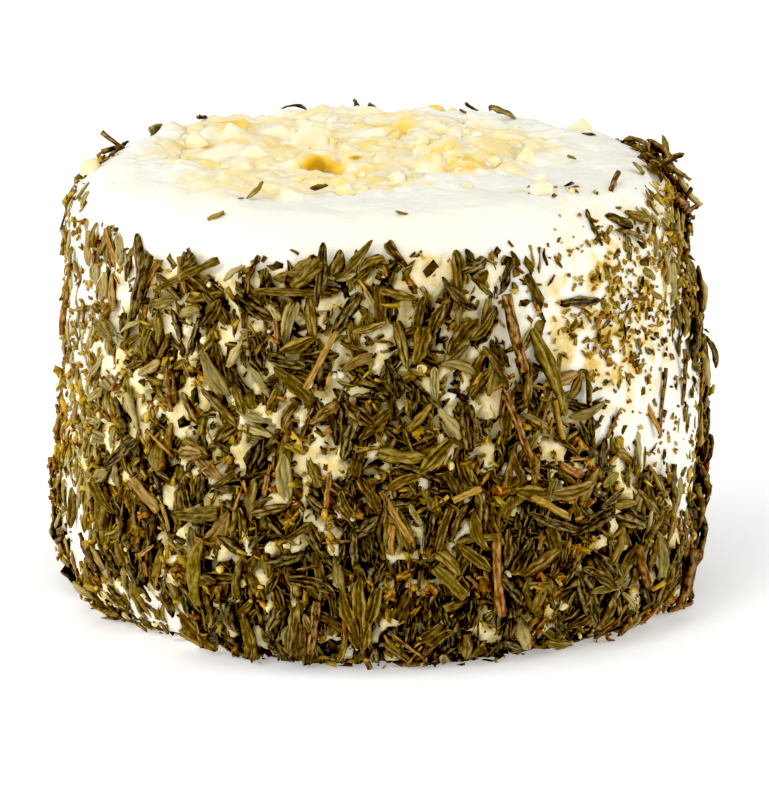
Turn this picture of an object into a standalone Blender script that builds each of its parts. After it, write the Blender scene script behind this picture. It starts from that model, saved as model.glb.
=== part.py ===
"""Small round goat cheese, rolled in dried thyme, with crystallised honey in its hollow top.

Metres, +Z up. The origin is the centre of the flat underside, and -Y is the side that shows.
Around the cheese, turn is the angle from -Y towards +X, and height is above the underside.
"""

import math

import bmesh
import bpy
import numpy as np
from mathutils import Matrix, Vector

MM = 0.001

# Cheese, without its herbs
HEIGHT = 40.4 * MM
BASE_RADIUS = 28.6 * MM
WAIST_RADIUS = 29.2 * MM
TOP_RADIUS = 27.1 * MM
BASE_ROUNDING = 6.4 * MM
TOP_ROUNDING = 5.6 * MM
LUMP = 0.30 * MM
CHEESE_FACETS = 52

# Hollow in the top, which the honey fills
HOLLOW_X = -3.2 * MM
HOLLOW_Y = 4.6 * MM
HOLLOW_REACH_X = 15.3 * MM
HOLLOW_REACH_Y = 13.9 * MM
HOLLOW_DEPTH = 3.0 * MM
HOLLOW_WALL = 1.8 * MM
HONEY_GAP = 0.35 * MM

# Honey bed: low behind the front lip, level with the cheese at the back
HONEY_FRONT_DROP = 1.5 * MM
HONEY_BACK_RISE = 0.3 * MM
HONEY_FACETS = 32
GRANULES = 58
GRANULE_LEAST = 0.95 * MM
GRANULE_MOST = 1.6 * MM

# Dried thyme. A leaf's thickness, and the lift of its middle over the cheese, are shares of its width.
LEAVES = 162
LEAF_LEAST = 3.4 * MM
LEAF_MOST = 5.8 * MM
LEAF_THICKNESS = 0.75
LEAF_LIFT = 0.2
LEAF_SIDES = 4
LEAF_BAND = (1.5 * MM, 39.0 * MM)
THYME_FLOOR = 0.15 * MM
PLACES_TRIED = 14

# The nearly bare patch at the right, and the fading of the herbs over the shoulder
BARE_TURN = math.radians(48)
BARE_WIDTH = math.radians(17)
BARE_HEIGHT = 27 * MM
BARE_TALL = 9 * MM
BARE_COVER = 0.12
SHOULDER_FADE = 4.5 * MM

# Where the pieces are joined, corners nearer together than this become one
SHORTEST_EDGE = 0.004 * MM

# The pieces of thyme that stand out: turn and slant in degrees, the rest in millimetres.
# A slant of 0 lies level and one of 90 stands up.
STANDOUTS = (
    # turn, height, slant, length, width
    (-46, 33.0, 75, 6.2, 1.4),  # brown leaf at the upper left
    (-35, 34.5, 28, 7.0, 1.1),  # sprig tip beside it
    (-28, 26.5, -57, 4.8, 1.9),  # broad rolled leaf
    (-55, 28.5, -13, 4.4, 1.4),
    (-47, 18.5, 36, 5.2, 1.4),
    (-31, 14.0, 10, 5.0, 1.5),
    (-31, 9.0, 85, 6.4, 1.7),  # long rolled leaf at the lower left
    (-21, 33.0, -31, 4.3, 1.5),
    (-16, 34.5, 1, 6.0, 1.0),
    (-10, 35.5, -88, 5.8, 1.1),
    (-4, 36.3, 50, 5.0, 1.1),
    (-9, 28.8, 63, 6.0, 0.9),  # stem
    (-3, 24.0, -40, 3.6, 1.6),
    (24, 30.4, -80, 7.2, 1.5),  # thick brown stem
    (31, 26.5, -72, 8.8, 1.5),  # longest leaf
    (18, 35.6, 20, 3.4, 1.2),
    (14, 33.8, -44, 4.5, 1.2),
    (15, 22.6, -87, 4.4, 1.6),
    (23, 22.3, -69, 6.8, 0.9),
    (3, 15.0, -58, 5.4, 0.9),  # stem
    (20, 9.4, -87, 8.0, 1.1),  # stem at the lower middle
    (9, 20.3, 38, 4.6, 1.5),
    (29, 14.4, -27, 5.6, 1.2),
    (16, 11.0, -41, 3.9, 1.3),
    (-3, 5.4, -86, 6.2, 2.6),  # bud at the foot
    (-11, 5.2, -83, 5.6, 1.1),
    (38, 6.0, -70, 6.0, 1.5),
    (42, 7.0, -3, 5.4, 1.1),
    (63, 21.0, -88, 6.0, 0.8),
    (59, 20.0, -64, 4.8, 0.8),
    (39, 22.4, 10, 4.6, 1.1),
    (39, 32.0, 4, 4.2, 1.1),
)

# Pale granules of honey pressed into the rim and the side, away from the hollow:
# turn in degrees, distance from the axis (None on the side), height on the side, radius, in millimetres.
STRAYS = (
    (127, 25.0, None, 1.5),  # back right of the top
    (167, 25.0, None, 1.3),  # back
    (184, 25.4, None, 1.2),
    (-94, 25.2, None, 1.4),  # left of the rim
    (43, 21.5, None, 1.3),  # front right of the top
    (49, 24.0, None, 1.0),
    (31, None, 4.6, 1.3),  # foot of the side
    (-31, None, 12.0, 1.1),
)


def side_radius(height):
    """The barrel's radius on its side: a parabola through the base, the waist and the top."""
    t = height / HEIGHT
    at_base = BASE_RADIUS * (2 * t - 1) * (t - 1)
    at_waist = WAIST_RADIUS * 4 * t * (1 - t)
    at_top = TOP_RADIUS * t * (2 * t - 1)
    return at_base + at_waist + at_top


def cheese_radius(height):
    """The smooth radius at a height, with the rounded foot and rim."""
    if height < BASE_ROUNDING:
        inset = side_radius(BASE_ROUNDING) - BASE_ROUNDING
        return inset + math.sqrt(BASE_ROUNDING**2 - (BASE_ROUNDING - height) ** 2)
    shoulder = HEIGHT - TOP_ROUNDING
    if height > shoulder:
        inset = side_radius(shoulder) - TOP_ROUNDING
        return inset + math.sqrt(max(TOP_ROUNDING**2 - (height - shoulder) ** 2, 0))
    return side_radius(height)


def lump(turn, height):
    """How far the hand-shaped surface stands out of the smooth barrel. It fades to none at the foot."""
    waves = (
        math.sin(2 * turn + 0.7 + 50 * height)
        + 0.8 * math.sin(3 * turn - 1.9 - 120 * height)
        + 0.6 * math.sin(5 * turn + 2.6 + 190 * height)
        + 0.5 * math.sin(9 * turn + 0.3 - 260 * height)
    )
    return LUMP * waves * min(height / BASE_ROUNDING, 1)


def side_point(turn, height):
    """A point on the side."""
    radius = cheese_radius(height) + lump(turn, height)
    return Vector((radius * math.sin(turn), -radius * math.cos(turn), height))


def side_axes(turn, height):
    """The directions along the surface to the right, up it, and out of it."""
    step = 0.2 * MM
    right = Vector((math.cos(turn), math.sin(turn), 0))
    up = side_point(turn, height + step) - side_point(turn, height - step)
    up = (up - right * up.dot(right)).normalized()
    return right, up, right.cross(up)


def top_height(x, y):
    """The uneven top outside the hollow."""
    wave = math.sin(310 * x + 90 * y + 0.4) + math.sin(240 * y - 130 * x + 1.1)
    return HEIGHT + 0.22 * MM * wave


def hollow_reach(bearing):
    """From the hollow's centre to its uneven edge, at a bearing from +X."""
    x = math.cos(bearing) / HOLLOW_REACH_X
    y = math.sin(bearing) / HOLLOW_REACH_Y
    uneven = 1 + 0.03 * math.sin(3 * bearing + 0.6) + 0.03 * math.sin(5 * bearing + 2.0)
    uneven += 0.03 * math.sin(8 * bearing + 1.0)
    return uneven / math.hypot(x, y)


def new_object(name, mesh, colour, roughness):
    """An object with its own Principled material, shaded smooth up to its sharp edges."""
    material = bpy.data.materials.new(name)
    material.use_nodes = True
    shader = material.node_tree.nodes["Principled BSDF"]
    shader.inputs["Base Color"].default_value = (*colour, 1)
    shader.inputs["Roughness"].default_value = roughness
    mesh.materials.append(material)
    mesh.shade_smooth()
    mesh.set_sharp_from_angle(angle=math.radians(40))
    made = bpy.data.objects.new(name, mesh)
    bpy.context.scene.collection.objects.link(made)
    return made


def rings_mesh(name, rings, first_centre, last_centre):
    """A closed mesh from rings of equal length, capped by a fan at each end."""
    shape = bmesh.new()
    loops = [[shape.verts.new(point) for point in ring] for ring in rings]
    for below, above in zip(loops, loops[1:]):
        for i, corner in enumerate(below):
            j = (i + 1) % len(below)
            shape.faces.new((corner, below[j], above[j], above[i]))
    low, high = shape.verts.new(first_centre), shape.verts.new(last_centre)
    for i in range(len(loops[0])):
        j = (i + 1) % len(loops[0])
        shape.faces.new((loops[0][j], loops[0][i], low))
        shape.faces.new((loops[-1][i], loops[-1][j], high))
    bmesh.ops.recalc_face_normals(shape, faces=shape.faces)
    mesh = bpy.data.meshes.new(name)
    shape.to_mesh(mesh)
    shape.free()
    return mesh


def turns(facets):
    return [2 * math.pi * i / facets for i in range(facets)]


def cheese_mesh():
    """The barrel from its flat underside, up the side and over the rim, down into the hollow."""
    corner_steps, side_steps = 4, 6
    shoulder = HEIGHT - TOP_ROUNDING
    heights = [
        BASE_ROUNDING * (1 - math.cos(math.pi / 2 * i / corner_steps))
        for i in range(corner_steps)
    ]
    heights += [
        BASE_ROUNDING + (shoulder - BASE_ROUNDING) * i / side_steps for i in range(side_steps)
    ]
    heights += [
        shoulder + TOP_ROUNDING * math.sin(math.pi / 2 * i / corner_steps)
        for i in range(corner_steps)
    ]
    rings = [[side_point(turn, height) for turn in turns(CHEESE_FACETS)] for height in heights]

    rim_radius = cheese_radius(HEIGHT)
    for share in (0.0, 0.45, 0.9):
        rings.append([top_point(turn, rim_radius, share) for turn in turns(CHEESE_FACETS)])
    for inside, drop in ((0.0, 0.35), (0.5, 0.8), (1.0, 1.0)):
        inset = inside * HOLLOW_WALL
        rings.append([hollow_point(turn, inset, drop) for turn in turns(CHEESE_FACETS)])
    floor = HEIGHT - HOLLOW_DEPTH
    return rings_mesh("cheese", rings, (0, 0, 0), (HOLLOW_X, HOLLOW_Y, floor - 0.3 * MM))


def edge_point(turn):
    """The point of the hollow's edge that faces a turn."""
    bearing = turn - math.pi / 2
    reach = hollow_reach(bearing)
    return HOLLOW_X + reach * math.cos(bearing), HOLLOW_Y + reach * math.sin(bearing)


def top_point(turn, rim_radius, share):
    """A point of the top, a share of the way from the rim to the hollow's edge."""
    edge_x, edge_y = edge_point(turn)
    x = rim_radius * math.sin(turn) * (1 - share) + edge_x * share
    y = -rim_radius * math.cos(turn) * (1 - share) + edge_y * share
    return Vector((x, y, top_height(x, y)))


def hollow_point(turn, inset, drop_share, above=0.0):
    """A point of the hollow's wall or floor, an inset inside its edge."""
    bearing = turn - math.pi / 2
    reach = hollow_reach(bearing) - inset
    x = HOLLOW_X + reach * math.cos(bearing)
    y = HOLLOW_Y + reach * math.sin(bearing)
    return Vector((x, y, top_height(x, y) - HOLLOW_DEPTH * drop_share + above))


def honey_height(x, y):
    """The top of the honey bed, which climbs from the front lip to the back."""
    share = (y - (HOLLOW_Y - HOLLOW_REACH_Y)) / (2 * HOLLOW_REACH_Y)
    share = min(max(share, 0), 1)
    climb = -HONEY_FRONT_DROP + (HONEY_FRONT_DROP + HONEY_BACK_RISE) * share
    wave = math.sin(900 * x + 1.3) * math.sin(760 * y + 0.2)
    return HEIGHT + climb + 0.25 * MM * wave


def honey_mesh():
    """The bed of honey: its underside follows the hollow, a gap above it."""
    rings = []
    for inside, drop in ((1.0, 1.0), (0.5, 0.8)):
        inset = inside * HOLLOW_WALL + HONEY_GAP
        rings.append([hollow_point(turn, inset, drop, HONEY_GAP) for turn in turns(HONEY_FACETS)])
    edge_ring, inner_rings = [], [[], [], []]
    for turn in turns(HONEY_FACETS):
        edge = hollow_point(turn, 0.25 * HOLLOW_WALL + HONEY_GAP, 0.45, HONEY_GAP)
        edge.z = min(edge.z + 0.4 * MM, honey_height(edge.x, edge.y))
        edge_ring.append(edge)
        for ring, share in zip(inner_rings, (0.8, 0.5, 0.22)):
            x = HOLLOW_X + (edge.x - HOLLOW_X) * share
            y = HOLLOW_Y + (edge.y - HOLLOW_Y) * share
            ring.append(Vector((x, y, honey_height(x, y))))
    rings += [edge_ring, *inner_rings]
    low = (HOLLOW_X, HOLLOW_Y, HEIGHT - HOLLOW_DEPTH + HONEY_GAP)
    return rings_mesh("honey", rings, low, (HOLLOW_X, HOLLOW_Y, honey_height(HOLLOW_X, HOLLOW_Y)))


def leaf_mesh(centre, axes, slant, length, width, pitch):
    """One curled leaf or stem lying on the cheese: pointed at both ends, with four sides."""
    right, up, out = axes
    along = right * math.cos(slant) + up * math.sin(slant)
    across = out.cross(along)
    along = (along + out * math.tan(pitch)).normalized()
    out = along.cross(across)
    thick, lift = LEAF_THICKNESS * width, LEAF_LIFT * width
    rings = []
    for share, girth in ((-0.30, 0.8), (0.0, 1.0), (0.30, 0.75)):
        ring = []
        for angle in turns(LEAF_SIDES):
            sideways = across * (math.sin(angle) * width / 2 * girth)
            outwards = out * (math.cos(angle) * thick / 2 * girth + lift)
            ring.append(centre + along * (share * length) + sideways + outwards)
        rings.append(ring)
    ends = [centre + along * (length * share) + out * (0.7 * lift) for share in (-0.5, 0.5)]
    return rings_mesh("leaf", rings, *ends)


def granule_object(centre, radius, draw):
    """One broken crystal of honey: a squashed, uneven icosahedron."""
    shape = bmesh.new()
    bmesh.ops.create_icosphere(shape, subdivisions=1, radius=radius)
    for vert in shape.verts:
        vert.co *= draw.uniform(0.82, 1.18)
    spin = Matrix.Rotation(draw.uniform(0, math.pi), 4, "Z")
    flat = Matrix.Diagonal((draw.uniform(0.9, 1.25), draw.uniform(0.8, 1.1), draw.uniform(0.7, 0.95), 1))
    bmesh.ops.transform(shape, matrix=Matrix.Translation(centre) @ spin @ flat, verts=shape.verts)
    mesh = bpy.data.meshes.new("granule")
    shape.to_mesh(mesh)
    shape.free()
    return bpy.data.objects.new("granule", mesh)


def thyme(draw):
    """The pieces that stand out, then leaves spread evenly over the side, largest first."""
    pieces = []

    def lay(turn, height, slant, length, width, pitch):
        centre = side_point(turn, height)
        axes = side_axes(turn, height)
        leaf = leaf_mesh(centre, axes, slant, length, width, pitch)
        if min(vert.co.z for vert in leaf.vertices) > THYME_FLOOR:
            pieces.append(bpy.data.objects.new("leaf", leaf))

    for turn, height, slant, length, width in STANDOUTS:
        pitch = math.radians(draw.uniform(-3, 3))
        lay(math.radians(turn), height * MM, math.radians(slant), length * MM, width * MM, pitch)

    taken = [(math.radians(turn), height * MM) for turn, height, *_ in STANDOUTS]
    for i in range(LEAVES):
        turn, height = free_place(taken, draw)
        taken.append((turn, height))
        length = LEAF_LEAST + (LEAF_MOST - LEAF_LEAST) * (1 - i / LEAVES) * draw.uniform(0.7, 1)
        width = length * draw.uniform(0.25, 0.35)
        slant = draw.uniform(0, math.pi)
        lay(turn, height, slant, length, width, math.radians(draw.uniform(-7, 7)))
    return pieces


def free_place(taken, draw):
    """The best of a few drawn places: the one with most room round it, where herbs lie thick."""
    tried = [(draw.uniform(-math.pi, math.pi), draw.uniform(*LEAF_BAND)) for _ in range(PLACES_TRIED)]
    return max(tried, key=lambda place: herb_cover(*place) * min(gap(*place, other) for other in taken))


def gap(turn, height, other):
    """Distance over the side between two places."""
    round_way = math.remainder(turn - other[0], 2 * math.pi) * WAIST_RADIUS
    return math.hypot(round_way, height - other[1])


def herb_cover(turn, height):
    """How thickly the herbs lie, from 0 to 1: a bare patch at the right, and few above the shoulder."""
    round_way = math.remainder(turn - BARE_TURN, 2 * math.pi) / BARE_WIDTH
    bare = math.hypot(round_way, (height - BARE_HEIGHT) / BARE_TALL)
    edge = min(max((HEIGHT - height) / SHOULDER_FADE, 0), 1)
    return edge * (BARE_COVER + (1 - BARE_COVER) * min(max(bare - 0.6, 0), 1))


def strays(draw):
    """The granules away from the hollow, sunk by half."""
    pieces = []
    for turn, distance, height, radius in STRAYS:
        turn = math.radians(turn)
        if distance is None:
            centre = side_point(turn, height * MM)
        else:
            x, y = distance * MM * math.sin(turn), -distance * MM * math.cos(turn)
            fall = max(distance * MM - cheese_radius(HEIGHT), 0)
            rim = TOP_ROUNDING - math.sqrt(TOP_ROUNDING**2 - fall**2)
            centre = Vector((x, y, top_height(x, y) - rim))
        pieces.append(granule_object(centre, radius * MM, draw))
    return pieces


def granules(draw):
    """Granules sunk by about half in the honey bed, kept inside the hollow's edge."""
    pieces = []
    golden_angle = math.pi * (3 - math.sqrt(5))
    for i in range(GRANULES):
        radius = GRANULE_MOST - (GRANULE_MOST - GRANULE_LEAST) * draw.uniform(0, 1)
        bearing = i * golden_angle
        room = hollow_reach(bearing) - 0.25 * HOLLOW_WALL - HONEY_GAP - 1.35 * radius
        reach = room * math.sqrt((i + 0.5) / GRANULES)
        x = HOLLOW_X + reach * math.cos(bearing)
        y = HOLLOW_Y + reach * math.sin(bearing)
        centre = Vector((x, y, honey_height(x, y) + draw.uniform(-0.45, 0.1) * radius))
        pieces.append(granule_object(centre, radius, draw))
    return pieces


def islands(shape):
    """The mesh's separate shells, each as a list of its faces."""
    left, found = set(shape.faces), []
    while left:
        shell, edge = [], [left.pop()]
        while edge:
            face = edge.pop()
            shell.append(face)
            near = {other for line in face.edges for other in line.link_faces} & left
            left -= near
            edge.extend(near)
        found.append(shell)
    return found


def shell_volume(faces):
    """Six times the volume inside triangles that face out."""
    corners = [[vert.co for vert in face.verts] for face in faces]
    return sum(a.dot(b.cross(c)) for a, b, c in corners)


def folded_faces(shape):
    """Pairs of slivers that lie on each other back to back, with the same three corners."""
    at_corners = {}
    for face in shape.faces:
        at_corners.setdefault(frozenset(face.verts), []).append(face)
    return [face for faces in at_corners.values() if len(faces) > 1 for face in faces]


def fuse(core, pieces, name, colour, roughness):
    """Joins the pieces to the core, and keeps the outer shell alone: no sealed hollow or scrap stays."""
    gathered = bpy.data.collections.new("pieces")
    bpy.context.scene.collection.children.link(gathered)
    for piece in pieces:
        gathered.objects.link(piece)
    blank = bpy.data.objects.new("core", core)
    bpy.context.scene.collection.objects.link(blank)
    union = blank.modifiers.new("union", "BOOLEAN")
    union.operation = "UNION"
    union.operand_type = "COLLECTION"
    union.collection = gathered
    union.solver = "EXACT"
    bpy.context.view_layer.update()
    graph = bpy.context.evaluated_depsgraph_get()
    joined = bpy.data.meshes.new_from_object(blank.evaluated_get(graph), depsgraph=graph)
    for piece in [*pieces, blank]:
        bpy.data.objects.remove(piece)
    bpy.data.collections.remove(gathered)

    shape = bmesh.new()
    shape.from_mesh(joined)
    bmesh.ops.triangulate(shape, faces=shape.faces)
    bmesh.ops.remove_doubles(shape, verts=shape.verts, dist=SHORTEST_EDGE)
    bmesh.ops.delete(shape, geom=folded_faces(shape), context="FACES")
    shells = sorted(islands(shape), key=shell_volume)
    for shell in shells[:-1]:
        bmesh.ops.delete(shape, geom=shell, context="FACES")
    shape.to_mesh(joined)
    shape.free()
    joined.materials.clear()
    joined.name = name
    return new_object(name, joined, colour, roughness)


def build():
    for obj in list(bpy.data.objects):
        bpy.data.objects.remove(obj)
    draw = np.random.default_rng(41)
    fuse(cheese_mesh(), thyme(draw) + strays(draw), "cheese", (0.92, 0.90, 0.84), 0.5)
    fuse(honey_mesh(), granules(draw), "honey", (0.93, 0.80, 0.45), 0.35)


build()
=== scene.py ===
"""Looks of the honey thyme goat cheese: a small barrel of fresh curd, rolled in dried thyme, with
crystallised honey in its hollow top.

Metres, +Z up, standing on its underside at the origin. Around the cheese, turn is the angle from -Y,
the side that shows, towards +X. Up its skin, rise is the way along the surface from the edge of the
flat underside: up the foot, the side and the rim, and a little way onto the top.
"""

import math

import bmesh
import bpy
import numpy as np
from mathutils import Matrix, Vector, noise


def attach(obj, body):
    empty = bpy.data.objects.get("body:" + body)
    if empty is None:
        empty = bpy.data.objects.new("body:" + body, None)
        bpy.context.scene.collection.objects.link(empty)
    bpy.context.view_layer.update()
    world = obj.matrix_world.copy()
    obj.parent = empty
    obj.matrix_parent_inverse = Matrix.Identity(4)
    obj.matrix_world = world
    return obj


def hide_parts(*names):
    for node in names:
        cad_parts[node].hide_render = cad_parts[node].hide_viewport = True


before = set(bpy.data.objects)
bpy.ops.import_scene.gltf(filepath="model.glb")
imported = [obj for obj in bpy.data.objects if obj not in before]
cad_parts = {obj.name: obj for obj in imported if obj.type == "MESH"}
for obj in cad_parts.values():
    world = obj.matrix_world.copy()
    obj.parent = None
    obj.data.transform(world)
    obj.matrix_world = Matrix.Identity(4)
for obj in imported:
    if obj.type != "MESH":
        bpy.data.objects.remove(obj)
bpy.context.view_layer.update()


# The cheese
#
# Fresh goat's curd, drained in a small round mould and turned out as a squat barrel with a soft foot
# and rim. One white, moist mass: mould-smooth where bare, pressed out between the herbs round its
# side, and crumbly on top, where a hollow is scooped for the honey.

MM = 0.001
HEIGHT = 40.4 * MM
BASE_RADIUS = 28.6 * MM
WAIST_RADIUS = 29.2 * MM
TOP_RADIUS = 27.1 * MM
BASE_ROUNDING = 6.4 * MM
TOP_ROUNDING = 5.6 * MM
SHOULDER = HEIGHT - TOP_ROUNDING
LUMP = 0.30 * MM

HOLLOW_X = -3.2 * MM
HOLLOW_Y = 4.6 * MM
HOLLOW_REACH_X = 15.3 * MM
HOLLOW_REACH_Y = 13.9 * MM
HOLLOW_DEPTH = 3.0 * MM

CHEESE_COLUMNS = 440
TOP_ROWS = 40
HOLLOW_ROWS = 26
UNDERSIDE_ROWS = 10
ROW_SPACING = 0.42 * MM
TOP_CELL = 0.15 * MM
TOP_HALF = 190
SKIN_ONTO_TOP = 7 * MM
ONTO_TOP_STEPS = 70
FLOOR_GAP = 0.02 * MM

CURD_SPOTS = (
    # turn in degrees, height, width and tallness in millimetres: where curd shows through, in the photo
    (22, 30.2, 3.1, 2.7), (67, 7.8, 4.4, 4.8), (-36, 21.6, 3.6, 3.4), (20, 24.1, 2.6, 3.2),
    (62, 4.1, 6.0, 3.2), (-12, 19.5, 2.8, 3.8), (31, 19.2, 3.0, 3.2), (44, 12.3, 2.7, 3.4),
    (-44, 19.6, 3.2, 4.6), (8, 35.0, 2.4, 2.9), (27, 2.8, 1.6, 3.9), (-38, 15.5, 2.4, 2.8),
    (-1, 31.4, 2.2, 2.0), (-14, 11.9, 2.0, 2.6), (24, 26.3, 1.7, 1.8), (-24, 19.6, 2.2, 2.2),
    (28, 31.6, 1.5, 2.7), (-3, 33.6, 1.9, 1.7), (-36, 23.8, 2.6, 1.9), (-37, 9.2, 2.7, 1.9),
    (-38, 7.3, 3.0, 1.5), (-8, 19.1, 2.4, 2.1), (9, 26.1, 1.6, 2.2), (-29, 15.0, 1.6, 3.2),
    (-22, 12.1, 1.6, 3.0), (0, 37.8, 1.7, 1.7), (48, 18.3, 1.7, 1.7), (-34, 11.5, 1.3, 2.2),
    (-12, 14.7, 1.4, 1.8), (-37, 4.1, 2.4, 1.3), (-65, 22.4, 2.2, 3.0), (-6, 1.7, 1.8, 1.2),
    (-9, 33.1, 2.1, 1.2), (-18, 11.6, 1.3, 1.7), (-51, 21.7, 2.2, 2.3), (7, 8.0, 1.2, 1.5),
)
BARE_PATCHES = (
    # turn, height, half width and half tallness, in degrees and millimetres, and how bare it is
    (42, 32, 27, 11, 1), (56, 23, 21, 11, 1), (78, 14, 20, 14, 0.9), (-76, 7, 17, 8, 0.95),
    (-47, 3, 15, 5, 0.85), (-80, 26, 32, 20, 0.72), (74, 35, 26, 9, 0.27), (150, 30, 18, 9, 0.7),
    (-150, 12, 16, 8, 0.7),
)


def side_radius(height):
    """The barrel's radius on its side: a parabola through the base, the waist and the top."""
    t = height / HEIGHT
    at_base = BASE_RADIUS * (2 * t - 1) * (t - 1)
    at_waist = WAIST_RADIUS * 4 * t * (1 - t)
    return at_base + at_waist + TOP_RADIUS * t * (2 * t - 1)


def skin_profile():
    """Radius and height along the rise, every tenth of a millimetre or so."""
    quarter = np.linspace(0, math.pi / 2, 90)
    foot_inset = side_radius(BASE_ROUNDING) - BASE_ROUNDING
    rim_inset = side_radius(SHOULDER) - TOP_ROUNDING
    side = np.linspace(BASE_ROUNDING, SHOULDER, 280)[1:-1]
    radius = [foot_inset + BASE_ROUNDING * np.sin(quarter), side_radius(side)]
    height = [BASE_ROUNDING * (1 - np.cos(quarter)), side]
    radius += [rim_inset + TOP_ROUNDING * np.cos(quarter)]
    height += [SHOULDER + TOP_ROUNDING * np.sin(quarter)]
    onto_top = np.linspace(0, SKIN_ONTO_TOP, ONTO_TOP_STEPS)[1:]
    radius += [rim_inset - onto_top]
    height += [np.full(len(onto_top), HEIGHT)]
    radius, height = np.concatenate(radius), np.concatenate(height)
    rise = np.concatenate([[0], np.cumsum(np.hypot(np.diff(radius), np.diff(height)))])
    return rise, radius, height


SKIN_RISE, SKIN_RADIUS, SKIN_HEIGHT = skin_profile()
SKIN_OUTWARD = np.gradient(SKIN_HEIGHT, SKIN_RISE)
SKIN_UPWARD = -np.gradient(SKIN_RADIUS, SKIN_RISE)
SKIN_BEND = np.abs(np.gradient(np.unwrap(np.arctan2(SKIN_UPWARD, SKIN_OUTWARD)), SKIN_RISE))
RIM_RISE = SKIN_RISE[-1] - SKIN_ONTO_TOP


def height_at(rise):
    """How high the skin is, at each rise."""
    return np.interp(rise, SKIN_RISE, SKIN_HEIGHT)


def lump(turn, height):
    """How far the hand-shaped surface stands out of the smooth barrel."""
    waves = (
        np.sin(2 * turn + 0.7 + 50 * height)
        + 0.8 * np.sin(3 * turn - 1.9 - 120 * height)
        + 0.6 * np.sin(5 * turn + 2.6 + 190 * height)
        + 0.5 * np.sin(9 * turn + 0.3 - 260 * height)
    )
    fade = np.clip(height / BASE_ROUNDING, 0, 1) * np.clip((HEIGHT - height) / (1 * MM), 0, 1)
    return LUMP * waves * fade


def skin(turn, rise):
    """Points of the skin, and the directions to the right, up the skin and out of it."""
    radius = np.interp(rise, SKIN_RISE, SKIN_RADIUS)
    height = height_at(rise)
    outward = np.interp(rise, SKIN_RISE, SKIN_OUTWARD)
    upward = np.interp(rise, SKIN_RISE, SKIN_UPWARD)
    radius = radius + lump(turn, height)
    sine, cosine = np.sin(turn), np.cos(turn)
    point = np.stack([radius * sine, -radius * cosine, height], -1)
    right = np.stack([cosine, sine, np.zeros_like(turn)], -1)
    up = np.stack([-upward * sine, upward * cosine, outward], -1)
    out = np.stack([outward * sine, -outward * cosine, upward], -1)
    return point, right, up, out


def top_wave(x, y):
    """The uneven top outside the hollow, as a height over its level."""
    return 0.22 * MM * (np.sin(310 * x + 90 * y + 0.4) + np.sin(240 * y - 130 * x + 1.1))


def hollow_reach(bearing):
    """From the hollow's centre to its uneven edge, at a bearing from +X."""
    uneven = 1 + 0.03 * np.sin(3 * bearing + 0.6) + 0.03 * np.sin(5 * bearing + 2.0)
    uneven = uneven + 0.03 * np.sin(8 * bearing + 1.0)
    return uneven / np.hypot(np.cos(bearing) / HOLLOW_REACH_X, np.sin(bearing) / HOLLOW_REACH_Y)


def hollow_inset(x, y):
    """How far a place lies inside the hollow's edge: below 0 outside it."""
    away = np.hypot(x - HOLLOW_X, y - HOLLOW_Y)
    return hollow_reach(np.arctan2(y - HOLLOW_Y, x - HOLLOW_X)) - away


def mottle(points, size, seed):
    """Smooth noise at each point, about -0.6 to 0.6, in lumps about as wide as the size."""
    shift = Vector((17.3 * seed, -9.1 * seed, 5.7 * seed))
    return np.array([noise.noise(Vector(point) / size + shift) for point in points])


def smooth_step(low, high, value):
    """0 up to the low value and 1 from the high one, with a soft rise between."""
    t = np.clip((value - low) / (high - low), 0, 1)
    return t * t * (3 - 2 * t)


def turned_from(turn, at_turn):
    """The degrees from a turn, given in degrees, the short way round."""
    return (np.degrees(turn) - at_turn + 180) % 360 - 180


def soft_patch(turn, height, at_turn, at_height, wide, tall, core=0.3):
    """1 in the middle of an oval patch of the side, fading to 0 at its edge. Turns are in degrees."""
    away = np.hypot(turned_from(turn, at_turn) / wide, (height / MM - at_height) / tall)
    return 1 - smooth_step(core, 1.2, away)


def patches(turn, height, rows):
    """Soft patches added up, from rows that each end with a strength."""
    return sum(strength * soft_patch(turn, height, *patch) for *patch, strength in rows)


def herb_cover(turn, rise):
    """How thickly the herbs lie, from 0 to 1, with the patches that the hand left nearly bare."""
    height = height_at(rise)
    ragged = 0.5 * np.sin(7 * turn + 1) + 0.5 * np.sin(17 * turn) + 0.4 * np.sin(31 * turn + 2)
    low = 6.2
    for at_turn, wide, lower in ((98, 36, -3.2), (-100, 30, -1.9), (-44, 20, 2.3)):
        low = low + lower * np.exp(-(turned_from(turn, at_turn) / wide) ** 2)
    edge = RIM_RISE - (low - 0.8 * ragged) * MM
    cover = 1 - smooth_step(-1.1 * MM, 1.1 * MM, rise - edge)
    bare = patches(turn, height, BARE_PATCHES)
    thinner = 0.54 * smooth_step(12, 30, height / MM) + 0.3 * (1 - smooth_step(1, 5, height / MM))
    return cover * (1 - 0.97 * np.clip(bare, 0, 1)) * (1 - thinner)


def scraped_over(x, y):
    """1 where honey and crumbs were spread past the hollow's edge, at the front left, and 0 far off."""
    return 1 - smooth_step(0.3, 1.2, np.hypot((x + 11 * MM) / (9.5 * MM), (y + 13 * MM) / (6 * MM)))


def softened(grid, passes, step=1):
    """A grid with each value blended, again and again, with those a step away."""
    for _ in range(passes):
        for axis in (0, 1):
            grid = (np.roll(grid, -step, axis) + 2 * grid + np.roll(grid, step, axis)) / 4
    return grid


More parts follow.
